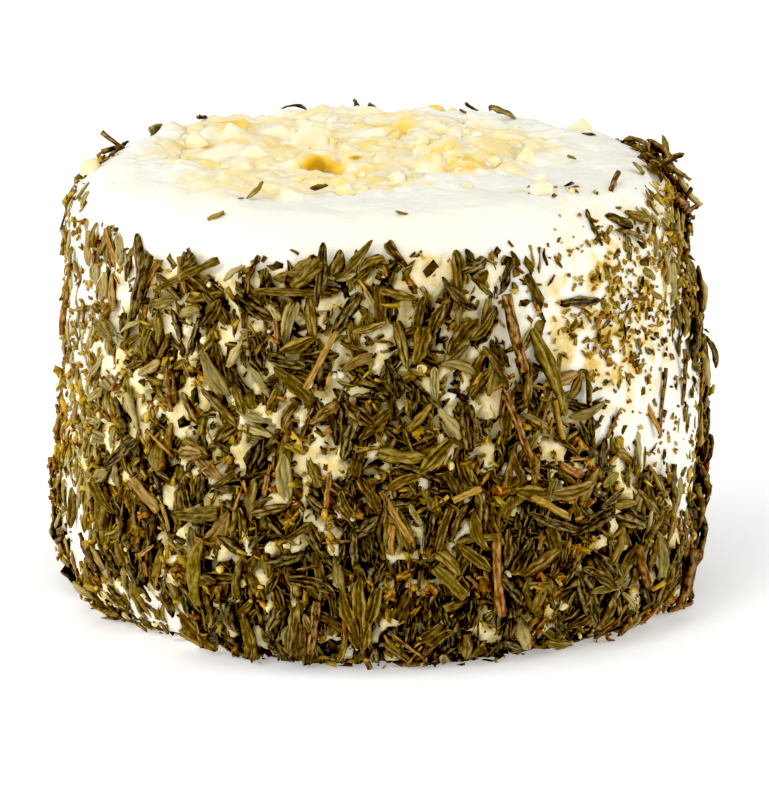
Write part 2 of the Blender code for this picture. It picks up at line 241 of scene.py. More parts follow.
def crumbly(count, least, most, lift, draw):
    """Soft crumbs heaped over the top: their height over its level, and a tint for each, on a grid."""
    side = np.arange(-TOP_HALF, TOP_HALF + 1) * TOP_CELL
    x, y = np.meshgrid(side, side, indexing="ij")
    relief, tint = np.full(x.shape, -0.6 * lift), np.full(x.shape, 0.5)
    for radius in np.sort(least + (most - least) * draw.beta(1.0, 2.6, count))[::-1]:
        at = draw.uniform(-TOP_HALF, TOP_HALF, 2) * TOP_CELL
        low = np.clip(((at - 1.5 * radius) / TOP_CELL).astype(int) + TOP_HALF, 0, 2 * TOP_HALF)
        high = np.clip(((at + 1.5 * radius) / TOP_CELL).astype(int) + TOP_HALF + 2, 0, 2 * TOP_HALF + 1)
        window = np.s_[low[0]:high[0], low[1]:high[1]]
        dx, dy = x[window] - at[0], y[window] - at[1]
        bearings = np.arange(5) * 2 * math.pi / 5 + draw.normal(0, 0.35, 5)
        outline = np.max([dx * math.cos(b) + dy * math.sin(b) for b in bearings], 0)
        tilt = draw.normal(0, 0.22, 2)
        height = draw.uniform(-0.5, 0.9) * lift * math.sqrt(radius / most)
        top = height + tilt[0] * dx + tilt[1] * dy - 1.6 * np.maximum(outline - 0.7 * radius, 0)
        higher = top > relief[window]
        relief[window] = np.where(higher, top, relief[window])
        tint[window] = np.where(higher, draw.uniform(0, 1), tint[window])
    return softened(relief, 2), softened(tint, 1)


def on_top_grid(grid, x, y):
    """A grid's values at places on the top, blended between its cells."""
    column = np.clip(x / TOP_CELL + TOP_HALF, 0, 2 * TOP_HALF - 1.001)
    row = np.clip(y / TOP_CELL + TOP_HALF, 0, 2 * TOP_HALF - 1.001)
    i, j = column.astype(int), row.astype(int)
    s, t = column - i, row - j
    near = grid[i, j] * (1 - s) + grid[i + 1, j] * s
    far = grid[i, j + 1] * (1 - s) + grid[i + 1, j + 1] * s
    return near * (1 - t) + far * t


curd_grid, curd_tint = crumbly(4200, 0.3 * MM, 2.4 * MM, 0.8 * MM, np.random.default_rng(17))


def cheese_surface():
    """The rows of points from the middle of the underside, over the rim, to the hollow's middle."""
    turn = np.linspace(0, 2 * math.pi, CHEESE_COLUMNS, endpoint=False)
    points, outs, covers = [], [], []
    foot_radius = SKIN_RADIUS[0]
    for share in np.linspace(0.04, 1, UNDERSIDE_ROWS, endpoint=False):
        ring = foot_radius * share
        points.append(np.stack([ring * np.sin(turn), -ring * np.cos(turn), 0 * turn], -1))
        outs.append(np.tile([0, 0, -1.0], (len(turn), 1)))
        covers.append(0 * turn)
    for rise in np.linspace(0, RIM_RISE, int(RIM_RISE / ROW_SPACING)):
        point, _, _, out = skin(turn, np.full(len(turn), rise))
        points.append(point)
        outs.append(out)
        covers.append(herb_cover(turn, np.full(len(turn), rise)))
    bearing = turn - math.pi / 2
    reach = hollow_reach(bearing)
    edge = np.stack([HOLLOW_X + reach * np.cos(bearing), HOLLOW_Y + reach * np.sin(bearing)], -1)
    rim_radius = np.interp(RIM_RISE, SKIN_RISE, SKIN_RADIUS)
    rim = rim_radius * np.stack([np.sin(turn), -np.cos(turn)], -1)
    middle = np.array([HOLLOW_X, HOLLOW_Y])
    rim_shares = np.linspace(0, 1, TOP_ROWS + 1)[1:]
    flat = [rim * (1 - share) + edge * share for share in rim_shares]
    flat += [middle + (edge - middle) * (1 - share) for share in np.linspace(0, 0.97, HOLLOW_ROWS)[1:]]
    fade = [min(share / 0.25, 1) for share in rim_shares] + [1] * HOLLOW_ROWS
    for place, share in zip(flat, fade):
        x, y = place.T
        fall = np.interp(hollow_inset(x, y), np.array([-1.6, 0, 0.9, 1.8]) * MM, [0, 0.35, 0.8, 1])
        height = HEIGHT + share * top_wave(x, y) - HOLLOW_DEPTH * fall
        points.append(np.stack([x, y, height], -1))
        outs.append(np.tile([0, 0, 1.0], (len(turn), 1)))
        rise = np.minimum(RIM_RISE + rim_radius - np.hypot(x, y), SKIN_RISE[-1])
        covers.append(herb_cover(turn, rise))
    return np.array(points), np.array(outs), np.array(covers)


def pressed_curd(points):
    """Where the curd squeezed out between the herbs, from 0 to 1: more so higher up the side."""
    turn, height = np.arctan2(points[:, 0], -points[:, 1]), points[:, 2]
    upper = smooth_step(10 * MM, 26 * MM, height)
    pressed = smooth_step(0.125, 0.295, mottle(points, 1.6 * MM, 2) + 0.085 * upper)
    ragged = 0.5 * mottle(points, 1.1 * MM, 8)
    for at_turn, at_height, wide, tall in CURD_SPOTS:
        degrees_wide = math.degrees(0.62 * wide * MM / WAIST_RADIUS)
        spot = soft_patch(turn, height, at_turn, at_height, degrees_wide, 0.62 * tall, 0.2)
        pressed = np.maximum(pressed, smooth_step(0.3, 0.6, spot + ragged * (spot > 0.02)))
    return pressed


def curd_relief(points, covers):
    """How far the curd stands out: pressed out between herbs, crumbly on top, smoother elsewhere."""
    broad = mottle(points, 4.5 * MM, 1)
    pressed = pressed_curd(points)
    grain = mottle(points, 0.9 * MM, 3)
    x, y = points[:, 0], points[:, 1]
    near_honey = smooth_step(-9 * MM, -2 * MM, hollow_inset(x, y) + 2.5 * MM * mottle(points, 6 * MM, 9))
    near_honey = np.maximum(near_honey, scraped_over(x, y))
    height = points[:, 2]
    on_top = smooth_step(HEIGHT - 2.2 * MM, HEIGHT - 0.4 * MM, height)
    herbed = (-0.35 + 1.2 * pressed + 0.35 * broad + 0.14 * grain) * MM
    bare = (0.28 * broad + 0.05 * grain) * MM
    crumbs = (0.15 + 0.75 * near_honey) * on_top_grid(curd_grid, x, y)
    crumbled = (0.4 * broad + 0.05 * grain) * MM + crumbs
    side = bare + (herbed - bare) * covers
    relief = side + (crumbled - side) * on_top
    return relief * smooth_step(0, 1.2 * MM, height)


def grid_faces(rows, columns):
    """Triangles over rows of points that close on themselves, and a fan at each end."""
    row, column = np.mgrid[0:rows - 1, 0:columns]
    a = (row * columns + column).ravel()
    b = (row * columns + (column + 1) % columns).ravel()
    quads = np.stack([a, b, b + columns, a + columns], -1)
    low, high = rows * columns, rows * columns + 1
    here, after = np.arange(columns), (np.arange(columns) + 1) % columns
    last = (rows - 1) * columns
    fans = [np.stack([after, here, np.full(columns, low)], -1)]
    fans += [np.stack([last + here, last + after, np.full(columns, high)], -1)]
    triangles = np.concatenate([quads[:, [0, 1, 2]], quads[:, [0, 2, 3]], *fans])
    return triangles


def mesh_piece(name, points, triangles, material, values=None):
    """A smooth-shaded piece from its points and triangles, with named values at its points."""
    mesh = bpy.data.meshes.new(name)
    mesh.vertices.add(len(points))
    mesh.vertices.foreach_set("co", np.asarray(points, np.float32).ravel())
    mesh.loops.add(triangles.size)
    mesh.loops.foreach_set("vertex_index", triangles.astype(np.int32).ravel())
    mesh.polygons.add(len(triangles))
    mesh.polygons.foreach_set("loop_start", np.arange(0, triangles.size, 3, dtype=np.int32))
    mesh.update(calc_edges=True)
    mesh.shade_smooth()
    for label, amounts in (values or {}).items():
        layer = mesh.attributes.new(label, "FLOAT", "POINT")
        layer.data.foreach_set("value", np.asarray(amounts, np.float32))
    mesh.materials.append(material)
    piece = bpy.data.objects.new(name, mesh)
    bpy.context.scene.collection.objects.link(piece)
    return piece


def linear(hex_colour):
    """An sRGB hex colour as the linear colour that a shader takes."""
    parts = [int(hex_colour[i:i + 2], 16) / 255 for i in (1, 3, 5)]
    return (*[c / 12.92 if c <= 0.04045 else ((c + 0.055) / 1.055) ** 2.4 for c in parts], 1)


def add(tree, kind, settings=None, links=None):
    """Adds a node. A link is what an input takes: a node, for its first output, or one of a node's
    outputs, or a plain value."""
    made = tree.nodes.new("ShaderNode" + kind)
    for name, value in (settings or {}).items():
        setattr(made, name, value)
    for socket, value in (links or {}).items():
        if isinstance(value, bpy.types.Node):
            value = value.outputs[0]
        if isinstance(value, bpy.types.NodeSocket):
            tree.links.new(value, made.inputs[socket])
        else:
            made.inputs[socket].default_value = value
    return made


def new_material(name):
    """A material that uses nodes, with its node tree and the Principled shader in it."""
    material = bpy.data.materials.new(name)
    material.use_nodes = True
    return material, material.node_tree, material.node_tree.nodes["Principled BSDF"]


def set_values(shader, values):
    """Sets what is the same all over a surface on the shader itself."""
    for socket, value in values.items():
        shader.inputs[socket].default_value = value


def per_metre(size):
    """The scale of a pattern whose lumps are that many metres wide."""
    return 1 / size


def fresh_curd():
    """Fresh goat's curd: moist white protein that light soaks into, so it has soft edges, a satin
    skin and no hard shadows. Thyme oil and honey stain it greenish yellow where they lie on it, and
    between the herbs the same cream stain is partly painted shade."""
    material, tree, shader = new_material("fresh_goat_curd")
    place = add(tree, "TexCoord").outputs["Object"]
    cloudy = add(tree, "TexNoise", {}, {
        "Vector": place, "Scale": per_metre(5 * MM), "Detail": 3, "Roughness": 0.6})
    speckled = add(tree, "TexNoise", {}, {
        "Vector": place, "Scale": per_metre(0.9 * MM), "Detail": 3, "Roughness": 0.65})
    white = add(tree, "Mix", {"data_type": "RGBA"}, {
        0: cloudy, 6: linear("#f8f0de"), 7: linear("#fcf7ea")})
    stain_and_shade = add(tree, "Attribute", {"attribute_name": "stain_and_shade"})
    uneven = add(tree, "MapRange", {}, {
        "Value": speckled, "From Min": 0.35, "From Max": 0.65, "To Min": 0.45, "To Max": 1.3})
    stain_and_shade_amount = add(tree, "Math", {"operation": "MULTIPLY", "use_clamp": True}, {
        0: stain_and_shade.outputs["Fac"], 1: uneven})
    # the ramp's cream and yellow are oil stain and, among the herbs, painted shade
    oil_and_shade = add(tree, "ValToRGB", {}, {"Fac": stain_and_shade_amount})
    oil_and_shade.color_ramp.elements[0].color = linear("#ffffff")
    oil_and_shade.color_ramp.elements[1].color = linear("#dcb944")
    oil_and_shade.color_ramp.elements.new(0.5).color = linear("#eee0aa")
    tinted = add(tree, "Mix", {"data_type": "RGBA", "blend_type": "MULTIPLY"}, {
        0: 1.0, 6: white.outputs[2], 7: oil_and_shade})
    honeyed = add(tree, "Attribute", {"attribute_name": "honeyed"})
    creamy = add(tree, "Math", {"operation": "MULTIPLY", "use_clamp": True}, {
        0: honeyed.outputs["Fac"], 1: uneven})
    creamed = add(tree, "Mix", {"data_type": "RGBA"}, {
        0: creamy, 6: tinted.outputs[2], 7: linear("#ffe2a2")})
    tree.links.new(creamed.outputs[2], shader.inputs["Base Color"])
    # the finest grains of curd, about a tenth of a millimetre, drawn coarser so that they show
    fine = add(tree, "TexNoise", {}, {
        "Vector": place, "Scale": per_metre(0.35 * MM), "Detail": 2, "Roughness": 0.6})
    soft = add(tree, "Bump", {}, {
        "Height": speckled, "Distance": 0.22 * MM, "Strength": 0.55})
    sharp = add(tree, "Bump", {}, {
        "Height": fine, "Distance": 0.07 * MM, "Strength": 0.5, "Normal": soft})
    tree.links.new(sharp.outputs[0], shader.inputs["Normal"])
    set_values(shader, {
        "Roughness": 0.5, "IOR": 1.42, "Specular IOR Level": 0.35, "Subsurface Weight": 0.8,
        "Subsurface Radius": (1.0, 0.93, 0.8), "Subsurface Scale": 0.7 * MM})
    return material


CURD = fresh_curd()


def make_cheese():
    points, outs, covers = cheese_surface()
    rows, columns = points.shape[:2]
    flat_points, flat_outs = points.reshape(-1, 3), outs.reshape(-1, 3)
    relief = curd_relief(flat_points, covers.ravel())
    flat_points = flat_points + flat_outs * relief[:, None]
    flat_points[:, 2] = np.maximum(flat_points[:, 2], 0)
    floor_middle = [0, 0, 0]
    hollow_middle = flat_points[-columns:].mean(0)
    every = np.concatenate([flat_points, [floor_middle, hollow_middle]])
    x, y, height = every.T
    honeyed = smooth_step(-7.5 * MM, 1.5 * MM, hollow_inset(x, y) + 2.2 * MM * mottle(every, 4 * MM, 6))
    honeyed = np.maximum(honeyed, 0.75 * scraped_over(x, y))
    honeyed = np.clip(1.9 * (honeyed - 0.55 * on_top_grid(curd_tint, x, y)), 0, 0.9)
    values = {"honeyed": honeyed * (height > HEIGHT - 5 * MM)}
    return mesh_piece("goat_cheese", every, grid_faces(rows, columns), CURD, values)


cheese = make_cheese()
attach(cheese, "root")
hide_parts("cheese")


# The crystallised honey
#
# Set honey, spooned into the hollow, where it has dried to a heap of granules: pale, half-clear
# chunks of glucose crystal from half a millimetre to four across, sunk in a bed of finer ones. It
# holds by its own stickiness. The thicker it lies, the more golden it looks; its deeper gold in low
# places, in the dip and towards the underside of each chunk is painted shade.

HONEY_FRONT_DROP = 0.9 * MM
HONEY_BACK_RISE = 0.5 * MM
HONEY_ROWS = 84
HONEY_COLUMNS = 330
LOOSE_CHUNKS = 52
CHUNK_CUTS = 8
CRISP_EDGE = math.radians(42)
HONEY_FLOOR_ROWS = 12
GOLDEN_POCKETS = (
    # x, y and radius in millimetres, and strength: where the honey looks deep, in the photo
    (-17.5, -11.4, 2.6, 0.55), (-13.2, 11.5, 2.2, 0.55), (-15.2, -2.0, 1.7, 0.38),
    # the two strongest pockets lie at the dip, where their dark olive gold is painted shade
    (1.3, 12.2, 2.3, 0.72), (-4.7, 11.0, 1.3, 0.50), (-5.3, -0.6, 2.6, 1.00),
    (-2.1, 0.6, 0.9, 0.90), (8.0, -1.7, 4.0, 0.32), (4.0, 4.0, 2.2, 0.32),
    (-9.5, 5.5, 1.6, 0.35), (-11.5, -6.0, 1.6, 0.28),
)
DIP_X, DIP_Y = -5.3 * MM, -1.0 * MM
DIP_REACH = 2.0 * MM
DIP_DEPTH = 2.1 * MM
STRAY_CHUNKS = (
    # turn in degrees, distance from the axis, radius, clearness: from the photo, in millimetres
    (127, 23.5, 1.6, 0.3),  # the cluster at the back right
    (123, 25.2, 1.2, 0.2),
    (131, 24.6, 1.0, 0.1),
    (167, 24.0, 1.4, 1.0),  # the round yellow one on the back rim
    (163, 23.4, 0.9, 0.5),
    (184, 24.2, 1.3, 0.1),
    (188, 23.6, 0.9, 0.2),
    (-94, 26.0, 1.5, 0.35),  # on the left rim
    (-91, 26.8, 1.1, 0.3),
    (43, 21.5, 1.6, 0.1),  # half sunk at the front right
    (38, 20.0, 1.0, 0.3),
    (49, 23.2, 1.0, 0.3),
    (29, 15.5, 1.0, 0.3),
    (-12, 14.4, 1.1, 0.3),
    (-30, 16.6, 0.9, 0.2),
    (60, 17.0, 0.9, 0.1),
)

honey_draw = np.random.default_rng(7)
honey_grid, honey_tint = crumbly(3000, 0.35 * MM, 2.5 * MM, 0.9 * MM, honey_draw)


def golden_pockets(x, y):
    """How deep and golden the honey looks at each place, from 0 to 1; the darkest, at the dip,
    is painted shade.
    """
    gold_and_shade = np.zeros_like(x)
    for at_x, at_y, radius, strength in GOLDEN_POCKETS:
        away = np.hypot(x / MM - at_x, (y / MM - at_y) * 0.8) / radius
        gold_and_shade = np.maximum(gold_and_shade, strength * (1 - smooth_step(0.2, 1.25, away)))
    return np.clip(1.16 * gold_and_shade, 0, 1)


def honey_level(x, y):
    """The top of the honey, which climbs from the front lip to the back, with one deep hole."""
    share = np.clip((y - (HOLLOW_Y - HOLLOW_REACH_Y)) / (2 * HOLLOW_REACH_Y), 0, 1)
    climb = -HONEY_FRONT_DROP + (HONEY_FRONT_DROP + HONEY_BACK_RISE) * share
    edge = 1 - smooth_step(-0.6 * MM, 1.6 * MM, hollow_inset(x, y))
    dip = 1 - smooth_step(0.35, 1.1, np.hypot(x - DIP_X, y - DIP_Y) / DIP_REACH)
    return HEIGHT + climb - 0.55 * MM * edge - DIP_DEPTH * dip


def unit_ball(splits):
    """The points and triangles of a ball of radius 1."""
    shape = bmesh.new()
    bmesh.ops.create_icosphere(shape, subdivisions=splits, radius=1)
    points = np.array([vert.co for vert in shape.verts])
    triangles = np.array([[vert.index for vert in face.verts] for face in shape.faces])
    shape.free()
    return points, triangles


def any_way_up(count, draw):
    """Random rotations, as matrices."""
    quarters = draw.normal(size=(4, count))
    w, x, y, z = quarters / np.linalg.norm(quarters, axis=0)
    rows = [
        [1 - 2 * (y * y + z * z), 2 * (x * y - w * z), 2 * (x * z + w * y)],
        [2 * (x * y + w * z), 1 - 2 * (x * x + z * z), 2 * (y * z - w * x)],
        [2 * (x * z - w * y), 2 * (y * z + w * x), 1 - 2 * (x * x + y * y)],
    ]
    return np.array(rows).transpose(2, 0, 1)


def chunks(centres, radii, squash, cuts, splits, draw):
    """Broken chunks: balls that random planes have cut flat, turned any way."""
    ball, triangles = unit_ball(splits)
    shapes = np.repeat(ball[None], len(radii), 0)
    for _ in range(cuts):
        facing = draw.normal(size=(len(radii), 3))
        facing /= np.linalg.norm(facing, axis=1, keepdims=True)
        depth = draw.uniform(0.4, 0.85, len(radii))
        over = np.maximum(np.einsum("npk,nk->np", shapes, facing) - depth[:, None], 0)
        shapes -= over[..., None] * facing[:, None, :]
    shapes *= draw.uniform(*squash, size=(len(radii), 1, 3))
    shapes = np.einsum("nij,npj->npi", any_way_up(len(radii), draw), shapes)
    points = centres[:, None] + shapes * np.asarray(radii)[:, None, None]
    return points, triangles


def strewn_piece(name, points, triangles, material, values, angular=False):
    """One piece from many like shapes: points are by shape, and values by shape or by point."""
    shapes, corners = points.shape[:2]
    every = (triangles[None] + corners * np.arange(shapes)[:, None, None]).reshape(-1, 3)
    spread = {
        label: (np.repeat(amounts, corners) if np.ndim(amounts) == 1 else np.ravel(amounts))
        for label, amounts in values.items()
    }
    piece = mesh_piece(name, points.reshape(-1, 3), every, material, spread)
    if angular:
        piece.data.set_sharp_from_angle(angle=CRISP_EDGE)
    return piece


def crystallised_honey():
    """Set honey: fine sugar crystals in a little clear syrup, so light goes a short way in and comes
    back yellow. It has a waxy gleam, is nearly white where thin or dry, and gold where thick. The
    gold also carries painted shade: deeper gold in low places, in the dip and under the chunks."""
    material, tree, shader = new_material("crystallised_honey")
    place = add(tree, "TexCoord").outputs["Object"]
    gold_and_shade = add(tree, "Attribute", {"attribute_name": "gold_and_shade"})
    cloudy = add(tree, "TexNoise", {}, {
        "Vector": place, "Scale": per_metre(2.6 * MM), "Detail": 3, "Roughness": 0.55})
    shifted = add(tree, "Math", {"operation": "MULTIPLY_ADD"}, {
        0: cloudy, 1: 0.6, 2: -0.3})
    depth = add(tree, "Math", {"operation": "ADD", "use_clamp": True}, {
        0: gold_and_shade.outputs["Fac"], 1: shifted})
    colour = add(tree, "ValToRGB", {}, {"Fac": depth})
    ramp = colour.color_ramp
    ramp.elements[0].color = linear("#fff1da")
    # the dark olive gold at the ramp's end shows mostly in the dip: painted shade
    ramp.elements[1].color = linear("#a88406")
    for position, shade in ((0.2, "#ffe9be"), (0.42, "#ffdd86"), (0.62, "#fccb3a"), (0.8, "#dcae10")):
        ramp.elements.new(position).color = linear(shade)
    tree.links.new(colour.outputs[0], shader.inputs["Base Color"])
    # sugar crystals, well under a tenth of a millimetre, drawn coarser so that they show
    grain = add(tree, "TexNoise", {}, {
        "Vector": place, "Scale": per_metre(0.3 * MM), "Detail": 2, "Roughness": 0.6})
    bump = add(tree, "Bump", {}, {
        "Height": grain, "Distance": 0.06 * MM, "Strength": 0.5})
    tree.links.new(bump.outputs[0], shader.inputs["Normal"])
    set_values(shader, {
        "Roughness": 0.38, "IOR": 1.49, "Subsurface Weight": 0.8,
        "Subsurface Radius": (1.0, 0.95, 0.8), "Subsurface Scale": 0.6 * MM})
    return material


HONEY = crystallised_honey()


def make_honey_bed():
    """The heaped mass that fills the hollow, down to just above its floor."""
    turn = np.linspace(0, 2 * math.pi, HONEY_COLUMNS, endpoint=False)
    reach = hollow_reach(turn)
    floor_rows, top_rows = [], []
    for share in np.linspace(0.15, 1.06, HONEY_FLOOR_ROWS):
        x, y = HOLLOW_X + share * reach * np.cos(turn), HOLLOW_Y + share * reach * np.sin(turn)
        fall = np.interp(hollow_inset(x, y), np.array([-0.6, 0, 1.8]) * MM, [0.4, 0.55, 0.95])
        floor_rows.append(np.stack([x, y, HEIGHT - HOLLOW_DEPTH * fall], -1))
    for share in np.linspace(1.06, 0.02, HONEY_ROWS):
        x, y = HOLLOW_X + share * reach * np.cos(turn), HOLLOW_Y + share * reach * np.sin(turn)
        top_rows.append(np.stack([x, y, honey_level(x, y)], -1))
    top = np.concatenate(top_rows)
    x, y = top[:, 0], top[:, 1]
    relief = on_top_grid(honey_grid, x, y) + 0.35 * MM * mottle(top, 3.5 * MM, 11)
    top[:, 2] += relief
    pocket, tint = golden_pockets(x, y), on_top_grid(honey_tint, x, y)
    # painted shade: besides each crumb's own tint, the honey is painted deeper gold where its relief
    # dips below its level
    shaded = 0.10 + 0.30 * tint**2 + 0.25 * np.clip(-relief / (0.5 * MM), 0, 1)
    gold_and_shade = shaded * (1 - pocket) + (0.72 + 0.2 * pocket**4) * pocket
    every = np.concatenate([*floor_rows, top, [floor_rows[0].mean(0), top[-HONEY_COLUMNS:].mean(0)]])
    gold_and_shade = np.concatenate([np.full(HONEY_FLOOR_ROWS * HONEY_COLUMNS, 0.5), gold_and_shade, [0.5, gold_and_shade[-1]]])
    faces = grid_faces(HONEY_FLOOR_ROWS + HONEY_ROWS, HONEY_COLUMNS)
    return mesh_piece("honey_bed", every, faces, HONEY, {"gold_and_shade": gold_and_shade})


def make_loose_chunks():
    """The larger broken crystals that lie half sunk in the heap and stand up out of it."""
    radii = (0.55 + 1.0 * honey_draw.beta(1.2, 2.4, LOOSE_CHUNKS)) * MM
    bearing = honey_draw.uniform(0, 2 * math.pi, LOOSE_CHUNKS)
    away = hollow_reach(bearing) * np.sqrt(honey_draw.uniform(0, 1, LOOSE_CHUNKS))
    x, y = HOLLOW_X + away * np.cos(bearing), HOLLOW_Y + away * np.sin(bearing)
    kept = golden_pockets(x, y) < 0.5
    z = honey_level(x, y) + np.maximum(on_top_grid(honey_grid, x, y), 0) - 0.4 * radii
    centres = np.stack([x, y, z], -1)[kept]
    points, triangles = chunks(centres, radii[kept], (0.7, 1.15), CHUNK_CUTS, 3, honey_draw)
    # painted shade: each chunk is painted deeper gold towards its lower side
    depth = np.clip((centres[:, 2:3] + 0.3 * MM - points[..., 2]) / (1.5 * MM), 0, 1)
    gold_and_shade = 0.08 + 0.4 * honey_draw.beta(1.2, 2.5, len(centres))[:, None] + 0.25 * depth
    return strewn_piece("honey_granules", points, triangles, HONEY, {"gold_and_shade": gold_and_shade}, angular=True)


def top_place(turn, away):
    """The point on the top, or over its rim, at a distance from the axis."""
    rim_radius = np.interp(RIM_RISE, SKIN_RISE, SKIN_RADIUS)
    over = np.clip(away - rim_radius, 0, TOP_ROUNDING * 0.98)
    height = HEIGHT - TOP_ROUNDING + np.sqrt(TOP_ROUNDING**2 - over**2)
    return np.array([away * math.sin(turn), -away * math.cos(turn), height])


def make_strays():
    """The granules that fell outside the hollow, sunk by about half."""
    centres = np.array([top_place(math.radians(turn), away * MM) for turn, away, *_ in STRAY_CHUNKS])
    radii = np.array([radius * MM for _, _, radius, _ in STRAY_CHUNKS])
    centres[:, 2] -= 0.25 * radii
    points, triangles = chunks(centres, radii, (0.85, 1.15), CHUNK_CUTS, 3, honey_draw)
    gold_and_shade = 0.10 + 0.5 * np.array([clear for *_, clear in STRAY_CHUNKS])
    return strewn_piece("stray_granules", points, triangles, HONEY, {"gold_and_shade": gold_and_shade}, angular=True)


honey_pieces = [make_honey_bed(), make_loose_chunks(), make_strays()]
for piece in honey_pieces:
    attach(piece, "root")
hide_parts("honey")


# The curd crumbs
#
# Scraps of the cheese's own curd, broken off where the hollow was scooped and the honey spooned in.
# They lie round the hollow and among the honey, stuck by their own moisture.

CURD_CRUMBS = 70
CRUMB_LEAST = 0.25 * MM
CRUMB_MOST = 0.95 * MM
CRUMB_CUTS = 6

curd_draw = np.random.default_rng(19)


def make_curd_crumbs():
    radii = CRUMB_LEAST + (CRUMB_MOST - CRUMB_LEAST) * curd_draw.beta(1.2, 2.8, CURD_CRUMBS)
    bearing = curd_draw.uniform(0, 2 * math.pi, CURD_CRUMBS)
    spread = curd_draw.normal(0, 2.6 * MM, CURD_CRUMBS)
    away = hollow_reach(bearing) + spread
    x, y = HOLLOW_X + away * np.cos(bearing), HOLLOW_Y + away * np.sin(bearing)
    inside = hollow_inset(x, y) > 0
    honey_top = honey_level(x, y) + on_top_grid(honey_grid, x, y)
    level = np.where(inside, honey_top, HEIGHT + top_wave(x, y) + on_top_grid(curd_grid, x, y))
    kept = np.hypot(x, y) < 21.5 * MM
    centres = np.stack([x, y, level - 0.55 * radii], -1)[kept]
    points, triangles = chunks(centres, radii[kept], (0.75, 1.2), CRUMB_CUTS, 2, curd_draw)
    honeyed = curd_draw.uniform(0.1, 0.9, len(centres))
    return strewn_piece("curd_crumbs", points, triangles, CURD, {"honeyed": honeyed}, angular=True)


curd_crumbs = make_curd_crumbs()
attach(curd_crumbs, "root")


# The herb dust, and painted shade
#
# Flecks of thyme leaf, bark and flower, a quarter to nine tenths of a millimetre long, that rubbed off
# when the herb was dried and stripped. They stick straight to the damp curd and fill the gaps
# between leaves. Their dark tones are partly painted shade: a dark layer that darkens the gaps.

FLECKS = 6800
TRIES = 4000
FLECK_FACES = np.array([
    (0, 1, 3), (0, 3, 2), (4, 7, 5), (4, 6, 7), (0, 4, 5), (0, 5, 1),
    (2, 7, 6), (2, 3, 7), (0, 2, 6), (0, 6, 4), (1, 7, 3), (1, 5, 7)])

dust_draw = np.random.default_rng(23)


def scatter(count, draw, crowd):
    """Turns and rises drawn as thickly as the crowd function, of both, says."""
    turns, rises = [], []
    found = 0
    while found < count:
        turn = draw.uniform(-math.pi, math.pi, TRIES)
        rise = draw.uniform(1.0 * MM, RIM_RISE + 3.5 * MM, TRIES)
        kept = draw.uniform(0, 1, TRIES) < crowd(turn, rise)
        turns.append(turn[kept])
        rises.append(rise[kept])
        found += kept.sum()
    return np.concatenate(turns)[:count], np.concatenate(rises)[:count]


def small_herb(turn, rise):
    """1 where the crust is of small bits and flakes: at the left and at the upper right."""
    height = height_at(rise)
    left = soft_patch(turn, height, -78, 24, 32, 26)
    right = soft_patch(turn, height, 74, 36, 22, 9)
    return np.clip(left + right, 0, 1)


def tones(mean, spread, turn, rise, draw):
    """A tone for each piece, from dark to pale. The small herb is mostly pale, and the foot is painted
    darkest, as painted shade on the lower side.
    """
    height = height_at(rise)
    # painted shade: pieces are painted darker the lower they lie up the side
    upper = 0.2 * (smooth_step(6, 32, height / MM) - 0.45)
    return np.clip(draw.normal(mean + upper + 0.7 * small_herb(turn, rise), spread), 0, 1)


def lengths_and_widths(local):
    """Where each point lies along and across its piece, which the grain of the herb follows."""
    return {"along": local[..., 0], "across": local[..., 1]}


def plates(sizes, draw):
    """Local points of thin broken plates, x along, y across and z out, from lists of their sizes."""
    corner = np.array([(x, y, z) for x in (-0.5, 0.5) for y in (-0.5, 0.5) for z in (-0.5, 0.5)])
    shapes = corner + draw.normal(0, 0.22, (len(sizes[0]), 8, 3))
    return shapes * np.stack(sizes, -1)[:, None]


def on_cheese(local, turn, rise, slant, lift, slope, roll):
    """Moves local points onto the cheese, each piece turned to its slant, slope and roll."""
    point, right, up, out = skin(turn, rise)
    cosine, sine = np.cos(slant)[:, None], np.sin(slant)[:, None]
    across = up * cosine - right * sine
    along = right * cosine + up * sine + out * slope[:, None]
    along /= np.linalg.norm(along, axis=1, keepdims=True)
    outward = np.cross(along, across)
    cosine, sine = np.cos(roll)[:, None], np.sin(roll)[:, None]
    across, outward = across * cosine + outward * sine, outward * cosine - across * sine
    axes = np.stack([along, across, outward], 1)
    return (point + out * lift[:, None])[:, None] + np.einsum("npk,nkj->npj", local, axes)


